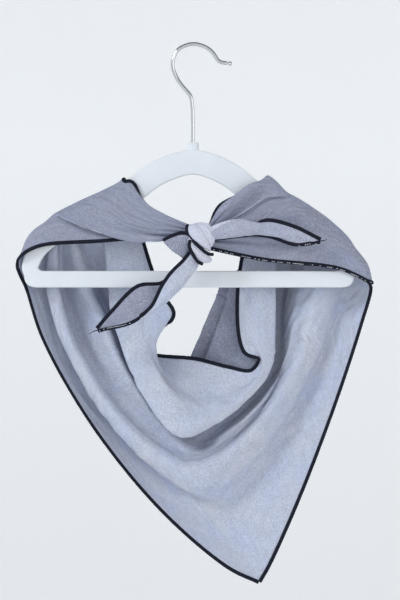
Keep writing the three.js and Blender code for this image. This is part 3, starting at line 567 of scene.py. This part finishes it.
def cloth_material(name, light, dark, cool, twill, sheen):
    """Melange cloth: threads both ways along the flat cloth's short sides, each of uneven shade."""
    n = Nodes(name)
    place_on = n.add("ShaderNodeUVMap", uv_map="cloth").outputs[0]
    warp = n.noise(n.stretched(place_on, THREAD_ANGLE, THREADS), 1.0, 1.0)
    weft = n.noise(n.stretched(place_on, -THREAD_ANGLE, THREADS), 1.0, 1.0)
    speckle = n.noise(place_on, SPECKLES, 2.0, UNEVEN)
    patches = n.noise(place_on, PATCHES, 3.0, UNEVEN)
    rib = n.add(
        "ShaderNodeTexWave",
        {"Vector": n.stretched(place_on, RIB_ANGLE, (1, 1, 1)), "Scale": RIBS, **RIB_BEND},
        wave_type="BANDS", bands_direction="X",
    ).outputs["Fac"]
    threads = n.math("ADD", warp, weft)
    shade = n.math("MULTIPLY_ADD", threads, *THREAD_SHADE)
    shade = n.math("ADD", shade, n.math("MULTIPLY_ADD", speckle, *SPECKLE_SHADE))
    shade = n.math("ADD", shade, n.math("MULTIPLY_ADD", patches, *PATCH_SHADE))
    shade = n.math("ADD", shade, n.math("MULTIPLY_ADD", rib, twill, -twill / 2))
    shade = n.add("ShaderNodeClamp", {0: n.math("ADD", shade, MIDDLE_SHADE)}).outputs[0]
    tint = n.math("MULTIPLY_ADD", n.noise(place_on, TINTS, 2.0), *TINT_SHADE)
    tint = n.add("ShaderNodeClamp", {0: tint}).outputs[0]
    n.link(n.blend(shade, (*dark, 1), n.blend(tint, (*light, 1), (*cool, 1))), "Base Color")
    n.set({"Roughness": 0.92, "Specular IOR Level": 0.2, "Sheen Weight": sheen, "Sheen Roughness": 0.5})
    height = n.math("ADD", n.math("MULTIPLY", threads, 0.5), n.math("MULTIPLY", rib, 0.5))
    n.bump(height, WEAVE_HEIGHT, WEAVE_STRENGTH)
    return n.material


def uneven_material(name, marks, detail, dark, light, shader):
    """The nodes of a material of two colours, with the place and the noise that mixes them."""
    n = Nodes(name)
    n.set(shader)
    place_on = n.add("ShaderNodeTexCoord").outputs["Object"]
    uneven = n.noise(place_on, marks, detail)
    n.link(n.blend(uneven, (*dark, 1), (*light, 1)), "Base Color")
    return n, place_on, uneven


def thread_material():
    n, place_on, _ = uneven_material(
        "overlock_thread", 900.0, 2.0, dark=(0.004, 0.005, 0.009), light=(0.022, 0.025, 0.042),
        shader={"Roughness": 0.8, "Specular IOR Level": 0.12},
    )
    fibres = 2200.0
    n.bump(n.noise(place_on, fibres, 1.0), 0.1 * MM)
    return n.material


def pale_thread_material():
    return uneven_material(
        "under_thread", 1400.0, 1.0, dark=(0.55, 0.57, 0.62), light=(0.80, 0.82, 0.86),
        shader={"Roughness": 0.7},
    )[0].material


def flock_material():
    n, place_on, _ = uneven_material(
        "white_flock", 45.0, 3.0, dark=(0.715, 0.755, 0.785), light=(0.79, 0.82, 0.86),
        shader={"Roughness": 0.85, "Sheen Weight": 0.3},
    )
    fibres = 1800.0
    n.bump(n.noise(place_on, fibres, 2.0), 0.08 * MM, 0.5)
    return n.material


def chrome_material():
    n, _, marks = uneven_material(
        "chrome_wire", 400.0, 2.0, dark=(0.55, 0.56, 0.58), light=(0.68, 0.69, 0.71), shader={"Metallic": 1.0}
    )
    smoothest, spread = 0.08, 0.1
    n.link(n.math("MULTIPLY_ADD", marks, spread, smoothest), "Roughness")
    return n.material


INNER = cloth_material(
    "cloth_inner_face", light=(0.685, 0.712, 0.79), dark=(0.365, 0.385, 0.465), cool=(0.59, 0.66, 0.86),
    twill=0.08, sheen=0.12,
)
# The outer face, darker than the inner: partly its own colour, partly painted shade
OUTER_FACE_AND_SHADE = cloth_material(
    "cloth_outer_face_and_painted_shade", light=(0.455, 0.475, 0.565), dark=(0.185, 0.195, 0.265), cool=(0.40, 0.44, 0.58),
    twill=0.35, sheen=0.1,
)
# A darker copy of the cloth for the right tail's face: painted shade
PAINTED_SHADE_FACE = cloth_material(
    "cloth_face_painted_shade", light=(0.56, 0.58, 0.67), dark=(0.27, 0.28, 0.36), cool=(0.48, 0.53, 0.69),
    twill=0.2, sheen=0.1,
)
# A lighter copy of the cloth for the knot and the right tail's roll: painted light
PAINTED_LIGHT_FACE = cloth_material(
    "cloth_face_painted_light", light=(0.74, 0.75, 0.83), dark=(0.50, 0.51, 0.60), cool=(0.66, 0.71, 0.88),
    twill=0.03, sheen=0.12,
)
THREAD = thread_material()
PALE_THREAD = pale_thread_material()
FLOCK = flock_material()
CHROME = chrome_material()

# Overlocked edges
THREAD_PITCH = 0.9 * MM
EDGE_OUT = 0.7 * MM
EDGE_WIDE = 3.7 * MM
EDGE_THICK = 2.5 * MM
EDGE_SIDES = 8
FEWEST_POINTS = 8
THREAD_SWELL = 0.07
THREAD_UNEVEN = 0.03

# Dashes of the pale under thread
DASH_SHARE = 0.5
DASH_PITCH = 1.7 * MM
DASH_LENGTH = 1.4 * MM
DASH_SPREAD = (0.5, 0.9)
DASH_WIDE = 0.75 * MM
DASH_OUT = 0.8 * MM
DASH_FRONT = 1.1 * MM
DASH_CORNERS = ((1, 0), (0, 1), (-1, 0), (0, -1))


def edge_path(grid, hem_side, first=0, last=None):
    """The line a little outside a long edge, and the direction outward from the cloth."""
    line, inside = (grid[:, -1], grid[:, -3]) if hem_side > 0 else (grid[:, 0], grid[:, 2])
    line, inside = line[first:last], inside[first:last]
    tangent = unit(np.gradient(line, axis=0))
    outward = line - inside
    outward = unit(outward - tangent * (outward * tangent).sum(-1, keepdims=True))
    return line + outward * EDGE_OUT, outward


def even_path(path, outward, pitch):
    """The path and its outward directions, read again at even distances."""
    length = lengths_along(path)
    count = max(int(length[-1] / pitch), FEWEST_POINTS)
    where = np.linspace(0, length[-1], count)
    again = np.stack([np.interp(where, length, path[:, k]) for k in range(3)], 1)
    turned = unit(np.stack([np.interp(where, length, outward[:, k]) for k in range(3)], 1))
    return again, turned


def wrapped_threads(count, angle):
    """Rings that swell and shrink by turns, as threads laid round an edge do."""
    turns = np.arange(count)[:, None] * math.pi + angle[None] / 2
    return 1 + THREAD_SWELL * np.cos(turns) + rng.normal(0, THREAD_UNEVEN, (count, len(angle)))


def add_edging(name, path, outward, wide=EDGE_WIDE):
    path, outward = even_path(path, outward, THREAD_PITCH / 2)
    obj = tube(name, path, EDGE_SIDES, THREAD, wide, EDGE_THICK, outward, wrapped_threads)
    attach(obj, "root")
    return obj


def add_dashes(name, path, outward):
    """Short stitches of the pale under thread that show along the outside of an edging."""
    path, outward = even_path(path, outward, DASH_PITCH)
    tangent = unit(np.gradient(path, axis=0))
    points, faces = [], []
    for at_path, side, ahead in zip(path, outward, tangent):
        if rng.random() > DASH_SHARE:
            continue
        long = ahead * rng.uniform(*DASH_SPREAD) * DASH_LENGTH / 2
        front = np.cross(ahead, side)
        front = front if front[1] < 0 else -front
        centre = at_path + side * DASH_OUT + front * DASH_FRONT
        corners = [centre + long * a + (side * b + front * c) * DASH_WIDE / 2
                   for a in (-1, 1) for b, c in DASH_CORNERS]
        start = len(points)
        points += corners
        faces += [(start + k, start + (k + 1) % 4, start + 4 + (k + 1) % 4, start + 4 + k) for k in range(4)]
        faces += [(start + 3, start + 2, start + 1, start), (start + 4, start + 5, start + 6, start + 7)]
    obj = new_object(name, points, faces, (PALE_THREAD,))
    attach(obj, "root")


# The cloth: points between two stations and between two folds
ALONG_STEPS = 12
FOLD_STEPS = 10

# Wrinkles: height, width across and length along the folds
CLOTH_WRINKLES = (0.5 * MM, 14 * MM, 90 * MM)
TAIL_WRINKLES = (0.22 * MM, 7 * MM, 40 * MM)
WAVES = 9
WAVE_SPREAD = (0.6, 1.6)
WAVE_START = (0, 6.3)
WANDER = 0.8
WANDER_LENGTH = 2.2

# How far the wrinkles fade: in folds from an edge, in stations from a shoulder and the knot
EDGE_FADE = 0.8
SHOULDER_FADE = 0.8
LEFT_GATHER = 0.9
RIGHT_GATHER = 1.7

# Gathers beside the knot
GATHER_HEIGHT = 1.6 * MM
GATHERS = 2.6
GATHER_WANDER = (0.7, 2.1)


def wrinkles(flat, height, width, length):
    """Heights of soft ridges that run mostly along the folds, on the flat cloth."""
    total = np.zeros(flat.shape[:2])
    for _ in range(WAVES):
        across = 2 * math.pi / (width * rng.uniform(*WAVE_SPREAD))
        along = 2 * math.pi / (length * rng.uniform(*WAVE_SPREAD)) * rng.choice((-1, 1))
        bend = np.sin(flat[..., 0] * 2 * math.pi / (WANDER_LENGTH * length) + rng.uniform(*WAVE_START))
        wave = flat[..., 0] * along + flat[..., 1] * across + WANDER * bend + rng.uniform(*WAVE_START)
        total += np.sin(wave)
    return total * height / math.sqrt(WAVES)


# Creases along the folds: station and fold at each end, height in millimetres and width in folds
Crease = namedtuple("Crease", "start end height wide")
CREASE_FADE = 0.6
CREASES = [
    Crease((5.6, 9.75), (10.6, 9.6), 1.6, 0.16),
    Crease((5.4, 8.25), (9.6, 8.1), 2.8, 0.16),
    Crease((5.6, 7.6), (9.0, 7.5), -1.8, 0.14),
    Crease((5.6, 8.85), (10.0, 8.7), -1.6, 0.16),
    Crease((5.8, 12.6), (9.6, 12.2), -1.1, 0.16),
    Crease((8.2, 9.1), (12.4, 9.0), 0.7, 0.12),
    Crease((9.4, 10.9), (13.6, 11.1), -0.8, 0.2),
    Crease((12.0, 8.6), (16.4, 8.9), 0.8, 0.2),
    Crease((13.0, 12.3), (17.0, 12.1), 0.9, 0.3),
    Crease((1.2, 5.2), (3.6, 4.6), -0.9, 0.22),
    Crease((18.4, 2.8), (21.6, 3.2), -3.8, 0.4),
    Crease((0.1, 7.4), (1.7, 6.8), -2.4, 0.4),
    Crease((0.1, 8.6), (1.5, 8.2), 2.0, 0.5),
    Crease((7.4, 1.4), (12.0, 1.5), 2.4, 0.26),
    Crease((7.6, 0.95), (12.0, 1.0), -2.0, 0.24),
]


def creased_heights(stations, places):
    total = np.zeros((len(stations), len(places)))
    for c in CREASES:
        run = (stations - c.start[0]) / (c.end[0] - c.start[0])
        centre = c.start[1] + (c.end[1] - c.start[1]) * run
        strength = np.sin(np.clip(run, 0, 1) * math.pi) ** CREASE_FADE
        gap = (places[None] - centre[:, None]) / c.wide
        total += c.height * MM * np.exp(-gap ** 2) * strength[:, None]
    return total


def near_knot(stations):
    """1 at the knot, falling to 0 along each band."""
    left, right = stations / LEFT_GATHER, (LAST - stations) / RIGHT_GATHER
    return np.clip(1 - left, 0, 1) + np.clip(1 - right, 0, 1)


def cloth_surface(stations, places):
    grid = cloth_grid(cloth_rows(), stations, places, (HEM, LOW))
    pinned = np.zeros(grid.shape[:2])
    pinned[:, 0] = pinned[:, -1] = 1
    pinned[0] = pinned[-1] = 1
    grid = relaxed(grid, pinned)
    flat = flat_places(grid, LOW * ALONG_STEPS)
    inside = np.minimum(1, np.minimum(places, HEM - places) / EDGE_FADE)[None]
    gather = near_knot(stations)[:, None]
    shoulder = np.minimum(np.abs(stations - SHOULDER_L), np.abs(stations - SHOULDER_R))[:, None]
    shape = wrinkles(flat, *CLOTH_WRINKLES) * (1 - gather) * np.clip(shoulder - SHOULDER_FADE, 0, 1)
    wander = GATHER_WANDER[0] * np.sin(stations * GATHER_WANDER[1])[:, None]
    shape += GATHER_HEIGHT * gather * np.sin(places * GATHERS + wander)
    shape -= creased_heights(stations, places)
    return grid + grid_normals(grid) * (shape * inside)[..., None]


stations = np.linspace(0, LAST, LAST * ALONG_STEPS + 1)
places = np.linspace(0, HEM, HEM * FOLD_STEPS + 1)
grid = cloth_surface(stations, places)
middle = LOW * ALONG_STEPS
cloth = cloth_shell("neckerchief_cloth", grid, CLOTH_THICKNESS, INNER, OUTER_FACE_AND_SHADE, middle)
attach(cloth, "root")
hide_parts("cowl_drape", "swag_drape", "left_front_band", "right_front_band")

neckline = add_edging("neckline_overlock", *edge_path(grid, -1))
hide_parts("neckline_edging")
left_hem = add_edging("left_hem_overlock", *edge_path(grid, 1, 0, middle + 1))
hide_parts("left_hem_edging")
right_hem = add_edging("right_hem_overlock", *edge_path(grid, 1, middle, None))
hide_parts("right_hem_edging")
DASHES_FROM = int(18.6 * ALONG_STEPS)
add_dashes("front_hem_dashes", *edge_path(grid, 1, DASHES_FROM, None))

# The tails and the flap
KNOT = np.array([KNOT_OFFSET, -BEHIND - KNOT_FORWARD, HANGER_TOP - KNOT_DOWN])
SECTION_STEPS = 12
LINE_STEPS = 10


def loose_grid(table, width, height):
    rows = np.array(table)
    placed = np.stack([rows[..., 0] * width, -rows[..., 2] * TAIL_DEPTH, -rows[..., 1] * height], -1) + KNOT
    last_section, last_line = rows.shape[1] - 1, rows.shape[0] - 1
    sections = np.linspace(0, last_section, last_section * SECTION_STEPS + 1)
    lines = np.linspace(0, last_line, last_line * LINE_STEPS + 1)
    surface = cloth_grid(placed, sections, lines)
    inside = np.minimum(1, np.minimum(lines, last_line - lines))[None]
    shape = wrinkles(flat_places(surface, 0), *TAIL_WRINKLES)
    return surface + grid_normals(surface) * (shape * inside)[..., None]


def add_loose(name, table, width, height, front, behind, turned=None):
    surface = loose_grid(table, width, height)
    piece = cloth_shell(f"{name}_cloth", surface, CLOTH_THICKNESS, front, behind, 0, turned)
    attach(piece, "root")
    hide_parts(name)
    upper = add_edging(f"{name}_upper_overlock", *edge_path(surface, -1))
    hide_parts(f"{name}_upper_edging")
    return piece, surface, upper


LEFT_SIZE = (LEFT_TAIL_WIDTH, LEFT_TAIL_HEIGHT)
RIGHT_SIZE = (RIGHT_TAIL_WIDTH, RIGHT_TAIL_HEIGHT)
left_tail, left_surface, left_upper = add_loose("left_tail", LEFT_TAIL, *LEFT_SIZE, OUTER_FACE_AND_SHADE, INNER)
left_lower = add_edging("left_tail_lower_overlock", *edge_path(left_surface, 1))
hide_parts("left_tail_lower_edging")

# How far the right tail is folded over, in lines: at the knot, and less for each section. There its lighter
# and darker copies of the cloth swap sides: painted light and shade on the roll.
FOLDED_LINES = 1.75
FOLDED_TAPER = 0.42
tail_sections = (len(RIGHT_TAIL[0]) - 1) * SECTION_STEPS
tail_lines = (len(RIGHT_TAIL) - 1) * LINE_STEPS
along, across = np.meshgrid(np.arange(tail_sections), np.arange(tail_lines), indexing="ij")
folded_painted_light = across < LINE_STEPS * (FOLDED_LINES - FOLDED_TAPER * along / SECTION_STEPS)
right_tail, right_surface, right_upper = add_loose(
    "right_tail", RIGHT_TAIL, *RIGHT_SIZE, PAINTED_SHADE_FACE, PAINTED_LIGHT_FACE, folded_painted_light
)
right_lower = add_edging("right_tail_lower_overlock", *edge_path(right_surface, 1))
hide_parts("right_tail_lower_edging")
flap, _, flap_upper = add_loose("left_flap", LEFT_FLAP, *LEFT_SIZE, OUTER_FACE_AND_SHADE, INNER)
LEFT_TIP_FROM = int(4.6 * SECTION_STEPS)
RIGHT_TIP_FROM = int(5.2 * SECTION_STEPS)
add_dashes("left_tip_dashes", *edge_path(left_surface, -1, LEFT_TIP_FROM, None))
add_dashes("right_tip_dashes", *edge_path(right_surface, 1, RIGHT_TIP_FROM, None))

# The knot: straps of folded cloth, each a row of points from the knot's centre in millimetres
Strap = namedtuple("Strap", "across up out wide thick")
LEFT_LOBE = [
    Strap(-9.6, 8.2, 3.0, 6, 5), Strap(-5.6, 5.9, 7.5, 11.5, 8), Strap(-1.1, 0.7, 9.5, 12, 8),
    Strap(3.6, -5.3, 9.8, 9, 6.5), Strap(7.2, -10.3, 8.8, 5, 4.5), Strap(8.6, -12.6, 7.5, 2, 3),
]
RIGHT_LOBE = [
    Strap(-5.4, 9.0, 2.5, 6, 5), Strap(-1.0, 8.4, 5.2, 9, 8), Strap(4.4, 6.2, 7.2, 12, 9),
    Strap(7.6, 1.2, 8.0, 12, 8), Strap(8.8, -4.2, 7.6, 8.5, 6), Strap(8.8, -8.8, 6.2, 4, 4),
]
SECOND_TURN = [
    Strap(-8.4, -1.5, 4.0, 5, 4), Strap(-7.2, -7.0, 7.2, 7.5, 5), Strap(-3.8, -12.6, 8.8, 10, 5.5),
    Strap(1.0, -17.2, 8.4, 10.5, 5), Strap(6.0, -20.0, 6.6, 8, 4.5), Strap(9.6, -21.0, 4.0, 4, 3),
]
KNOT_BACK = [
    Strap(-9.5, 3.0, -4.5, 9, 8), Strap(-4.0, 1.5, -1.0, 20, 14), Strap(3.0, -1.5, -1.0, 22, 14),
    Strap(9.5, -4.0, -4.5, 12, 9),
]
KNOT_EDGES = {
    "upper": [
        (-10.4, 10.4, 4.5), (-11.6, 8.6, 5.6), (-11.6, 5.4, 6.4), (-10.4, 2.6, 6.8), (-8.0, 0, 7.4),
        (-5.6, -2.6, 8.2),
    ],
    "middle": [
        (-6.4, -3.4, 9.4), (-3.6, -6.6, 11.2), (0.2, -10.2, 12), (4.4, -13.6, 11.2), (8.0, -15.6, 9.6),
        (11.6, -16.0, 7.0),
    ],
    "lower": [
        (-9.0, -3.2, 8.2), (-9.6, -8.2, 9.8), (-7.8, -13.4, 11.2), (-4.8, -18.6, 11.4), (-1.4, -22.8, 10.4),
        (2.2, -24.6, 8.0),
    ],
}
KNOT_EDGE_WIDE = 3.0 * MM
KNOT_EDGE_POINTS = 40
STRAP_POINTS = 60
STRAP_SIDES = 64
CREASE_EASE = 0.5
OUTWARD = np.array([0.0, -1.0, 0.0])


def off_knot(across, up, out):
    return KNOT + np.array([across, -out, up]) * MM


def creased(creases, depth, spread):
    """Cross-sections with grooves, each at an angle in degrees that changes along the strap."""
    def ripple(count, angle):
        run = np.linspace(0, 1, count)[:, None]
        scale = np.ones((count, len(angle)))
        for start, end in creases:
            centre = math.radians(start) + math.radians(end - start) * run
            gap = np.abs((angle[None] - centre + math.pi) % (2 * math.pi) - math.pi)
            scale -= depth * np.exp(-((gap / spread) ** 2)) * np.sin(run * math.pi) ** CREASE_EASE
        return scale
    return ripple


def curve_off_knot(points, count):
    return spline([off_knot(*p) for p in points], np.linspace(0, len(points) - 1, count))


def strap(name, points, material, creases, depth, spread):
    where = np.linspace(0, len(points) - 1, STRAP_POINTS)
    path = curve_off_knot([(p.across, p.up, p.out) for p in points], STRAP_POINTS)
    numbers = np.arange(len(points))
    wide = np.interp(where, numbers, [p.wide for p in points]) * MM
    thick = np.interp(where, numbers, [p.thick for p in points]) * MM
    side = np.cross(OUTWARD, unit(np.gradient(path, axis=0)))
    piece = tube(name, path, STRAP_SIDES, material, wide, thick, side, creased(creases, depth, spread))
    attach(piece, "root")
    return piece


# Each strap's grooves: angles in degrees at both ends, then depth and width
LEFT_GROOVES = ([(60, 80), (125, 110)], 0.07, 0.16)
RIGHT_GROOVES = ([(40, 60), (85, 95)], 0.14, 0.12)
TURN_GROOVES = ([(60, 70), (95, 100), (128, 125)], 0.2, 0.12)
BACK_GROOVES = ([(60, 100), (120, 80)], 0.08, 0.16)

# The knot's straps take the lighter copy of the cloth: painted light
left_lobe = strap("knot_left_lobe", LEFT_LOBE, PAINTED_LIGHT_FACE, *LEFT_GROOVES)
strap("knot_right_lobe", RIGHT_LOBE, PAINTED_LIGHT_FACE, *RIGHT_GROOVES)
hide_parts("knot_wrap")
turn = strap("knot_second_strip", SECOND_TURN, PAINTED_LIGHT_FACE, *TURN_GROOVES)
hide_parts("knot_second_turn")
back = strap("knot_back_folds", KNOT_BACK, OUTER_FACE_AND_SHADE, *BACK_GROOVES)
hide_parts("knot_core")
for name, points in KNOT_EDGES.items():
    path = curve_off_knot(points, KNOT_EDGE_POINTS)
    sideways = np.tile(np.cross(OUTWARD, unit(path[-1] - path[0])), (KNOT_EDGE_POINTS, 1))
    add_edging(f"knot_{name}_overlock", path, sideways, KNOT_EDGE_WIDE)

# Thread ends at the tips of the tails, in millimetres from the knot's centre
THREAD_ENDS = {
    "left": [(-89.5, -82.6, 4.6), (-92.6, -83.4, 4.8), (-95.4, -84.6, 5.2), (-98.2, -86.6, 5.0)],
    "right": [(104.8, -4.4, 6.0), (108.0, -3.8, 6.4), (110.6, -3.4, 6.6), (112.2, -2.0, 6.4)],
}
THREAD_END_POINTS = 24
THREAD_END_WIDE = np.linspace(1.1, 0.4, THREAD_END_POINTS) * MM
for name, points in THREAD_ENDS.items():
    path = curve_off_knot(points, THREAD_END_POINTS)
    end = tube(f"{name}_thread_end", path, EDGE_SIDES, THREAD, THREAD_END_WIDE)
    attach(end, "root")

# The hanger: where its arms start to narrow and where its opening ends, as shares of an arm
ARCH_SHARE = 0.3
CORNER_SHARE = 0.9
HANGER_EDGE_ROUND = 1.6 * MM
ARCH_POINTS = 121
CORNER_POINTS = 10
BAR_POINTS = 40
ROUND_POINTS = 9

# The boss round the hook's stem
BOSS_ROUND = 1.2 * MM
BOSS_ROUND_POINTS = 6
BOSS_FOOT = 1.5 * BOSS_HEIGHT
LATHE_SIDES = 48

# The hook and its ball tip
HOOK_POINTS = 260
HOOK_SIDES = 24
HOOK_TIP_SHARE = 0.55
TIP_ANGLES = (24, 176)
TIP_POINTS = 14
TIP_OVERLAP = 5


def corner(start, over, end):
    """A quadratic curve's points, without its first."""
    t = np.linspace(0, 1, CORNER_POINTS + 1)[1:, None]
    return (1 - t) ** 2 * np.array(start) + 2 * t * (1 - t) * np.array(over) + t ** 2 * np.array(end)


def arch_line(shares, inward):
    """The hanger's upper edge moved inward, at shares from -1 at the left end to 1 at the right end."""
    left = [(-a * LEFT_REACH, HANGER_TOP - d * HANGER_HEIGHT) for a, d in ARM_EDGE[:0:-1]]
    right = [(a * RIGHT_REACH, HANGER_TOP - d * HANGER_HEIGHT) for a, d in ARM_EDGE]
    guide = np.array([(x, 0, z) for x, z in left + right])
    where = (shares + 1) * (len(ARM_EDGE) - 1)
    point = spline(guide, where)
    tangent = direction(guide, where)
    return np.stack([point[:, 0] + tangent[:, 2] * inward, point[:, 2] - tangent[:, 0] * inward], 1)


def hanger_loop(share, level, round_corner, width_at):
    """The hanger's outer or inner outline, from its right end over the arch and back along the bar."""
    shares = np.linspace(share, -share, ARCH_POINTS)
    arch = arch_line(shares, width_at(np.abs(shares)))
    first, last = arch[0], arch[-1]
    lower_left = corner(last, (last[0], level), (last[0] + round_corner, level))
    bar = np.linspace(lower_left[-1], (first[0] - round_corner, level), BAR_POINTS + 1)[1:]
    lower_right = corner(bar[-1], (first[0], level), first)
    return np.concatenate([arch, lower_left, bar, lower_right[:-1]])


def arm_width(shares):
    narrowing = np.clip((shares - ARCH_SHARE) / (CORNER_SHARE - ARCH_SHARE), 0, None)
    return mix(ARM_WIDTH, ARM_END_WIDTH, narrowing)


def hanger_ring():
    """The flat frame with round edges: sections from the outer outline to the inner one."""
    outer = hanger_loop(1, BAR_BOTTOM, CORNER_RADIUS, np.zeros_like)
    inner = hanger_loop(CORNER_SHARE, BAR_TOP, CORNER_RADIUS / 2, arm_width)
    angle = np.linspace(-math.pi / 2, math.pi / 2, ROUND_POINTS)
    depth = np.concatenate([np.sin(angle), np.sin(angle)[::-1]]) * HANGER_EDGE_ROUND
    depth += np.sign(depth) * (HANGER_THICKNESS / 2 - HANGER_EDGE_ROUND)
    inset = np.concatenate([1 - np.cos(angle), 1 - np.cos(angle)]) * HANGER_EDGE_ROUND
    start = np.repeat([True, False], ROUND_POINTS)
    toward = unit(inner - outer)
    ring = np.where(
        start[None, :, None],
        outer[:, None] + toward[:, None] * inset[None, :, None],
        inner[:, None] - toward[:, None] * inset[None, :, None],
    )
    points = np.stack([ring[..., 0], np.broadcast_to(depth, ring.shape[:2]), ring[..., 1]], -1)
    count, sides = points.shape[:2]
    i, j = np.meshgrid(np.arange(count), np.arange(sides), indexing="ij")
    ahead, around = (i + 1) % count, (j + 1) % sides
    faces = np.stack([i * sides + j, ahead * sides + j, ahead * sides + around, i * sides + around], -1)
    return points.reshape(-1, 3), faces.reshape(-1, 4)


def lathed(profile, squash, sides):
    """A turned form from radii and heights, flattened front to back."""
    points = [(r * math.cos(a), r * math.sin(a) * squash, z)
              for r, z in profile for a in np.arange(sides) / sides * 2 * math.pi]
    faces = []
    for i in range(len(profile) - 1):
        this, following = i * sides, (i + 1) * sides
        for k in range(sides):
            beside = (k + 1) % sides
            faces.append((this + k, this + beside, following + beside, following + k))
    return np.array(points), np.array(faces)


def add_hanger():
    ring, ring_faces = hanger_ring()
    half = BOSS_DIAMETER / 2
    hole = HOOK_WIRE / 2 + CLEARANCE
    profile = [(half, BOSS_TOP - BOSS_FOOT)]
    for a in np.linspace(0, math.pi / 2, BOSS_ROUND_POINTS):
        inset, drop = BOSS_ROUND * (1 - math.cos(a)), BOSS_ROUND * (1 - math.sin(a))
        profile.append((half - inset, BOSS_TOP - drop))
    profile += [(hole, BOSS_TOP), (hole, BOSS_TOP - BOSS_HEIGHT)]
    boss, boss_faces = lathed(profile, HANGER_THICKNESS / BOSS_DIAMETER, LATHE_SIDES)
    points = np.concatenate([ring, boss])
    faces = np.concatenate([ring_faces, boss_faces + len(ring)])
    body = new_object("hanger_frame", points, faces, (FLOCK,))
    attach(body, "root")
    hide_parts("hanger_body")


def add_hook():
    bow_centre = -HOOK_BOW + HOOK_WIRE / 2
    route = [(0, BOSS_TOP - STEM_DEPTH)] + [(a * HOOK_BOW, b * HOOK_LENGTH) for a, b in HOOK_STEM]
    route += [(a * HOOK_BOW, bow_centre + b * HOOK_BOW) for a, b in HOOK_BEND]
    guide = np.array([[x, 0, z] for x, z in route])
    path = spline(guide, np.linspace(0, len(route) - 1, HOOK_POINTS))
    ahead = unit(path[-1] - path[-2])
    ball = HOOK_WIRE * HOOK_TIP_SHARE
    turn = np.radians(np.linspace(*TIP_ANGLES, TIP_POINTS))
    tip = path[-1] - ahead * np.cos(turn)[:, None] * ball
    before_tip = path[:-TIP_OVERLAP]
    wide = np.concatenate([np.full(len(before_tip), HOOK_WIRE), 2 * ball * np.sin(turn)])
    wire = tube("hook_wire", np.concatenate([before_tip, tip]), HOOK_SIDES, CHROME, wide)
    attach(wire, "root")
    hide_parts("hanger_hook")


add_hanger()
add_hook()

# Stage: a round pale floor that curves up all round, soft lights and the camera
STAGE_RADIUS = 3.4
STAGE_BEND = 1.4
STAGE_TOP = 3.2
STAGE_LEVEL = -1.1
STAGE_CENTRE = 0.5 * MM
STAGE_SIDES = 64
BEND_START = 0.15
BEND_POINTS = 8
STAGE_GLOW = 0.26
WORLD_STRENGTH = 0.36
WORLD_COLOUR = (0.92, 0.955, 1.0, 1)
LIGHT_AIM = (0, 0, -0.25)


def stage():
    profile = [(STAGE_CENTRE, 0), (STAGE_RADIUS, 0)]
    for a in np.linspace(BEND_START, math.pi / 2, BEND_POINTS):
        profile.append((STAGE_RADIUS + STAGE_BEND * math.sin(a), STAGE_BEND - STAGE_BEND * math.cos(a)))
    profile.append((STAGE_RADIUS + STAGE_BEND, STAGE_TOP))
    points, faces = lathed(profile, 1, STAGE_SIDES)
    points[:, 2] += STAGE_LEVEL
    glow = {"Roughness": 0.9, "Emission Color": (0.96, 0.97, 0.985, 1), "Emission Strength": STAGE_GLOW}
    n, _, _ = uneven_material(
        "pale_stage", 1.5, 1.0, dark=(0.86, 0.875, 0.885), light=(0.88, 0.895, 0.905), shader=glow
    )
    new_object("stage_floor", points, faces, (n.material,))


def area_light(name, place_at, size, power, colour):
    light = bpy.data.lights.new(name, "AREA")
    light.shape = "DISK"
    light.size = size
    light.energy = power
    light.color = colour
    obj = bpy.data.objects.new(name, light)
    obj.location = place_at
    obj.rotation_euler = (Vector(LIGHT_AIM) - Vector(place_at)).to_track_quat("-Z", "Y").to_euler()
    bpy.context.scene.collection.objects.link(obj)


def lights():
    world = bpy.data.worlds.new("soft_room")
    world.use_nodes = True
    background = world.node_tree.nodes["Background"]
    background.inputs["Color"].default_value = WORLD_COLOUR
    background.inputs["Strength"].default_value = WORLD_STRENGTH
    bpy.context.scene.world = world
    area_light("window", (-1.8, -1.4, 1.2), size=0.8, power=28, colour=(0.88, 0.93, 1.0))
    area_light("fill", (1.4, -2.0, 0.2), size=1.6, power=8, colour=(1.0, 0.97, 0.94))


VIEW_DISTANCE = 1.6
VIEW_HEIGHT = PHOTO_HEIGHT * PX
SENSOR_WIDTH = 36


def camera():
    data = bpy.data.cameras.new("photo_view")
    data.sensor_width = SENSOR_WIDTH
    data.lens = data.sensor_width * VIEW_DISTANCE / VIEW_HEIGHT
    obj = bpy.data.objects.new("photo_view", data)
    obj.location = place(MIDDLE_PX, MIDDLE_PY, -VIEW_DISTANCE)
    obj.rotation_euler = (math.radians(90), 0, 0)
    bpy.context.scene.collection.objects.link(obj)
    bpy.context.scene.camera = obj


bpy.context.scene.view_settings.view_transform = "Standard"
camera()
stage()
lights()
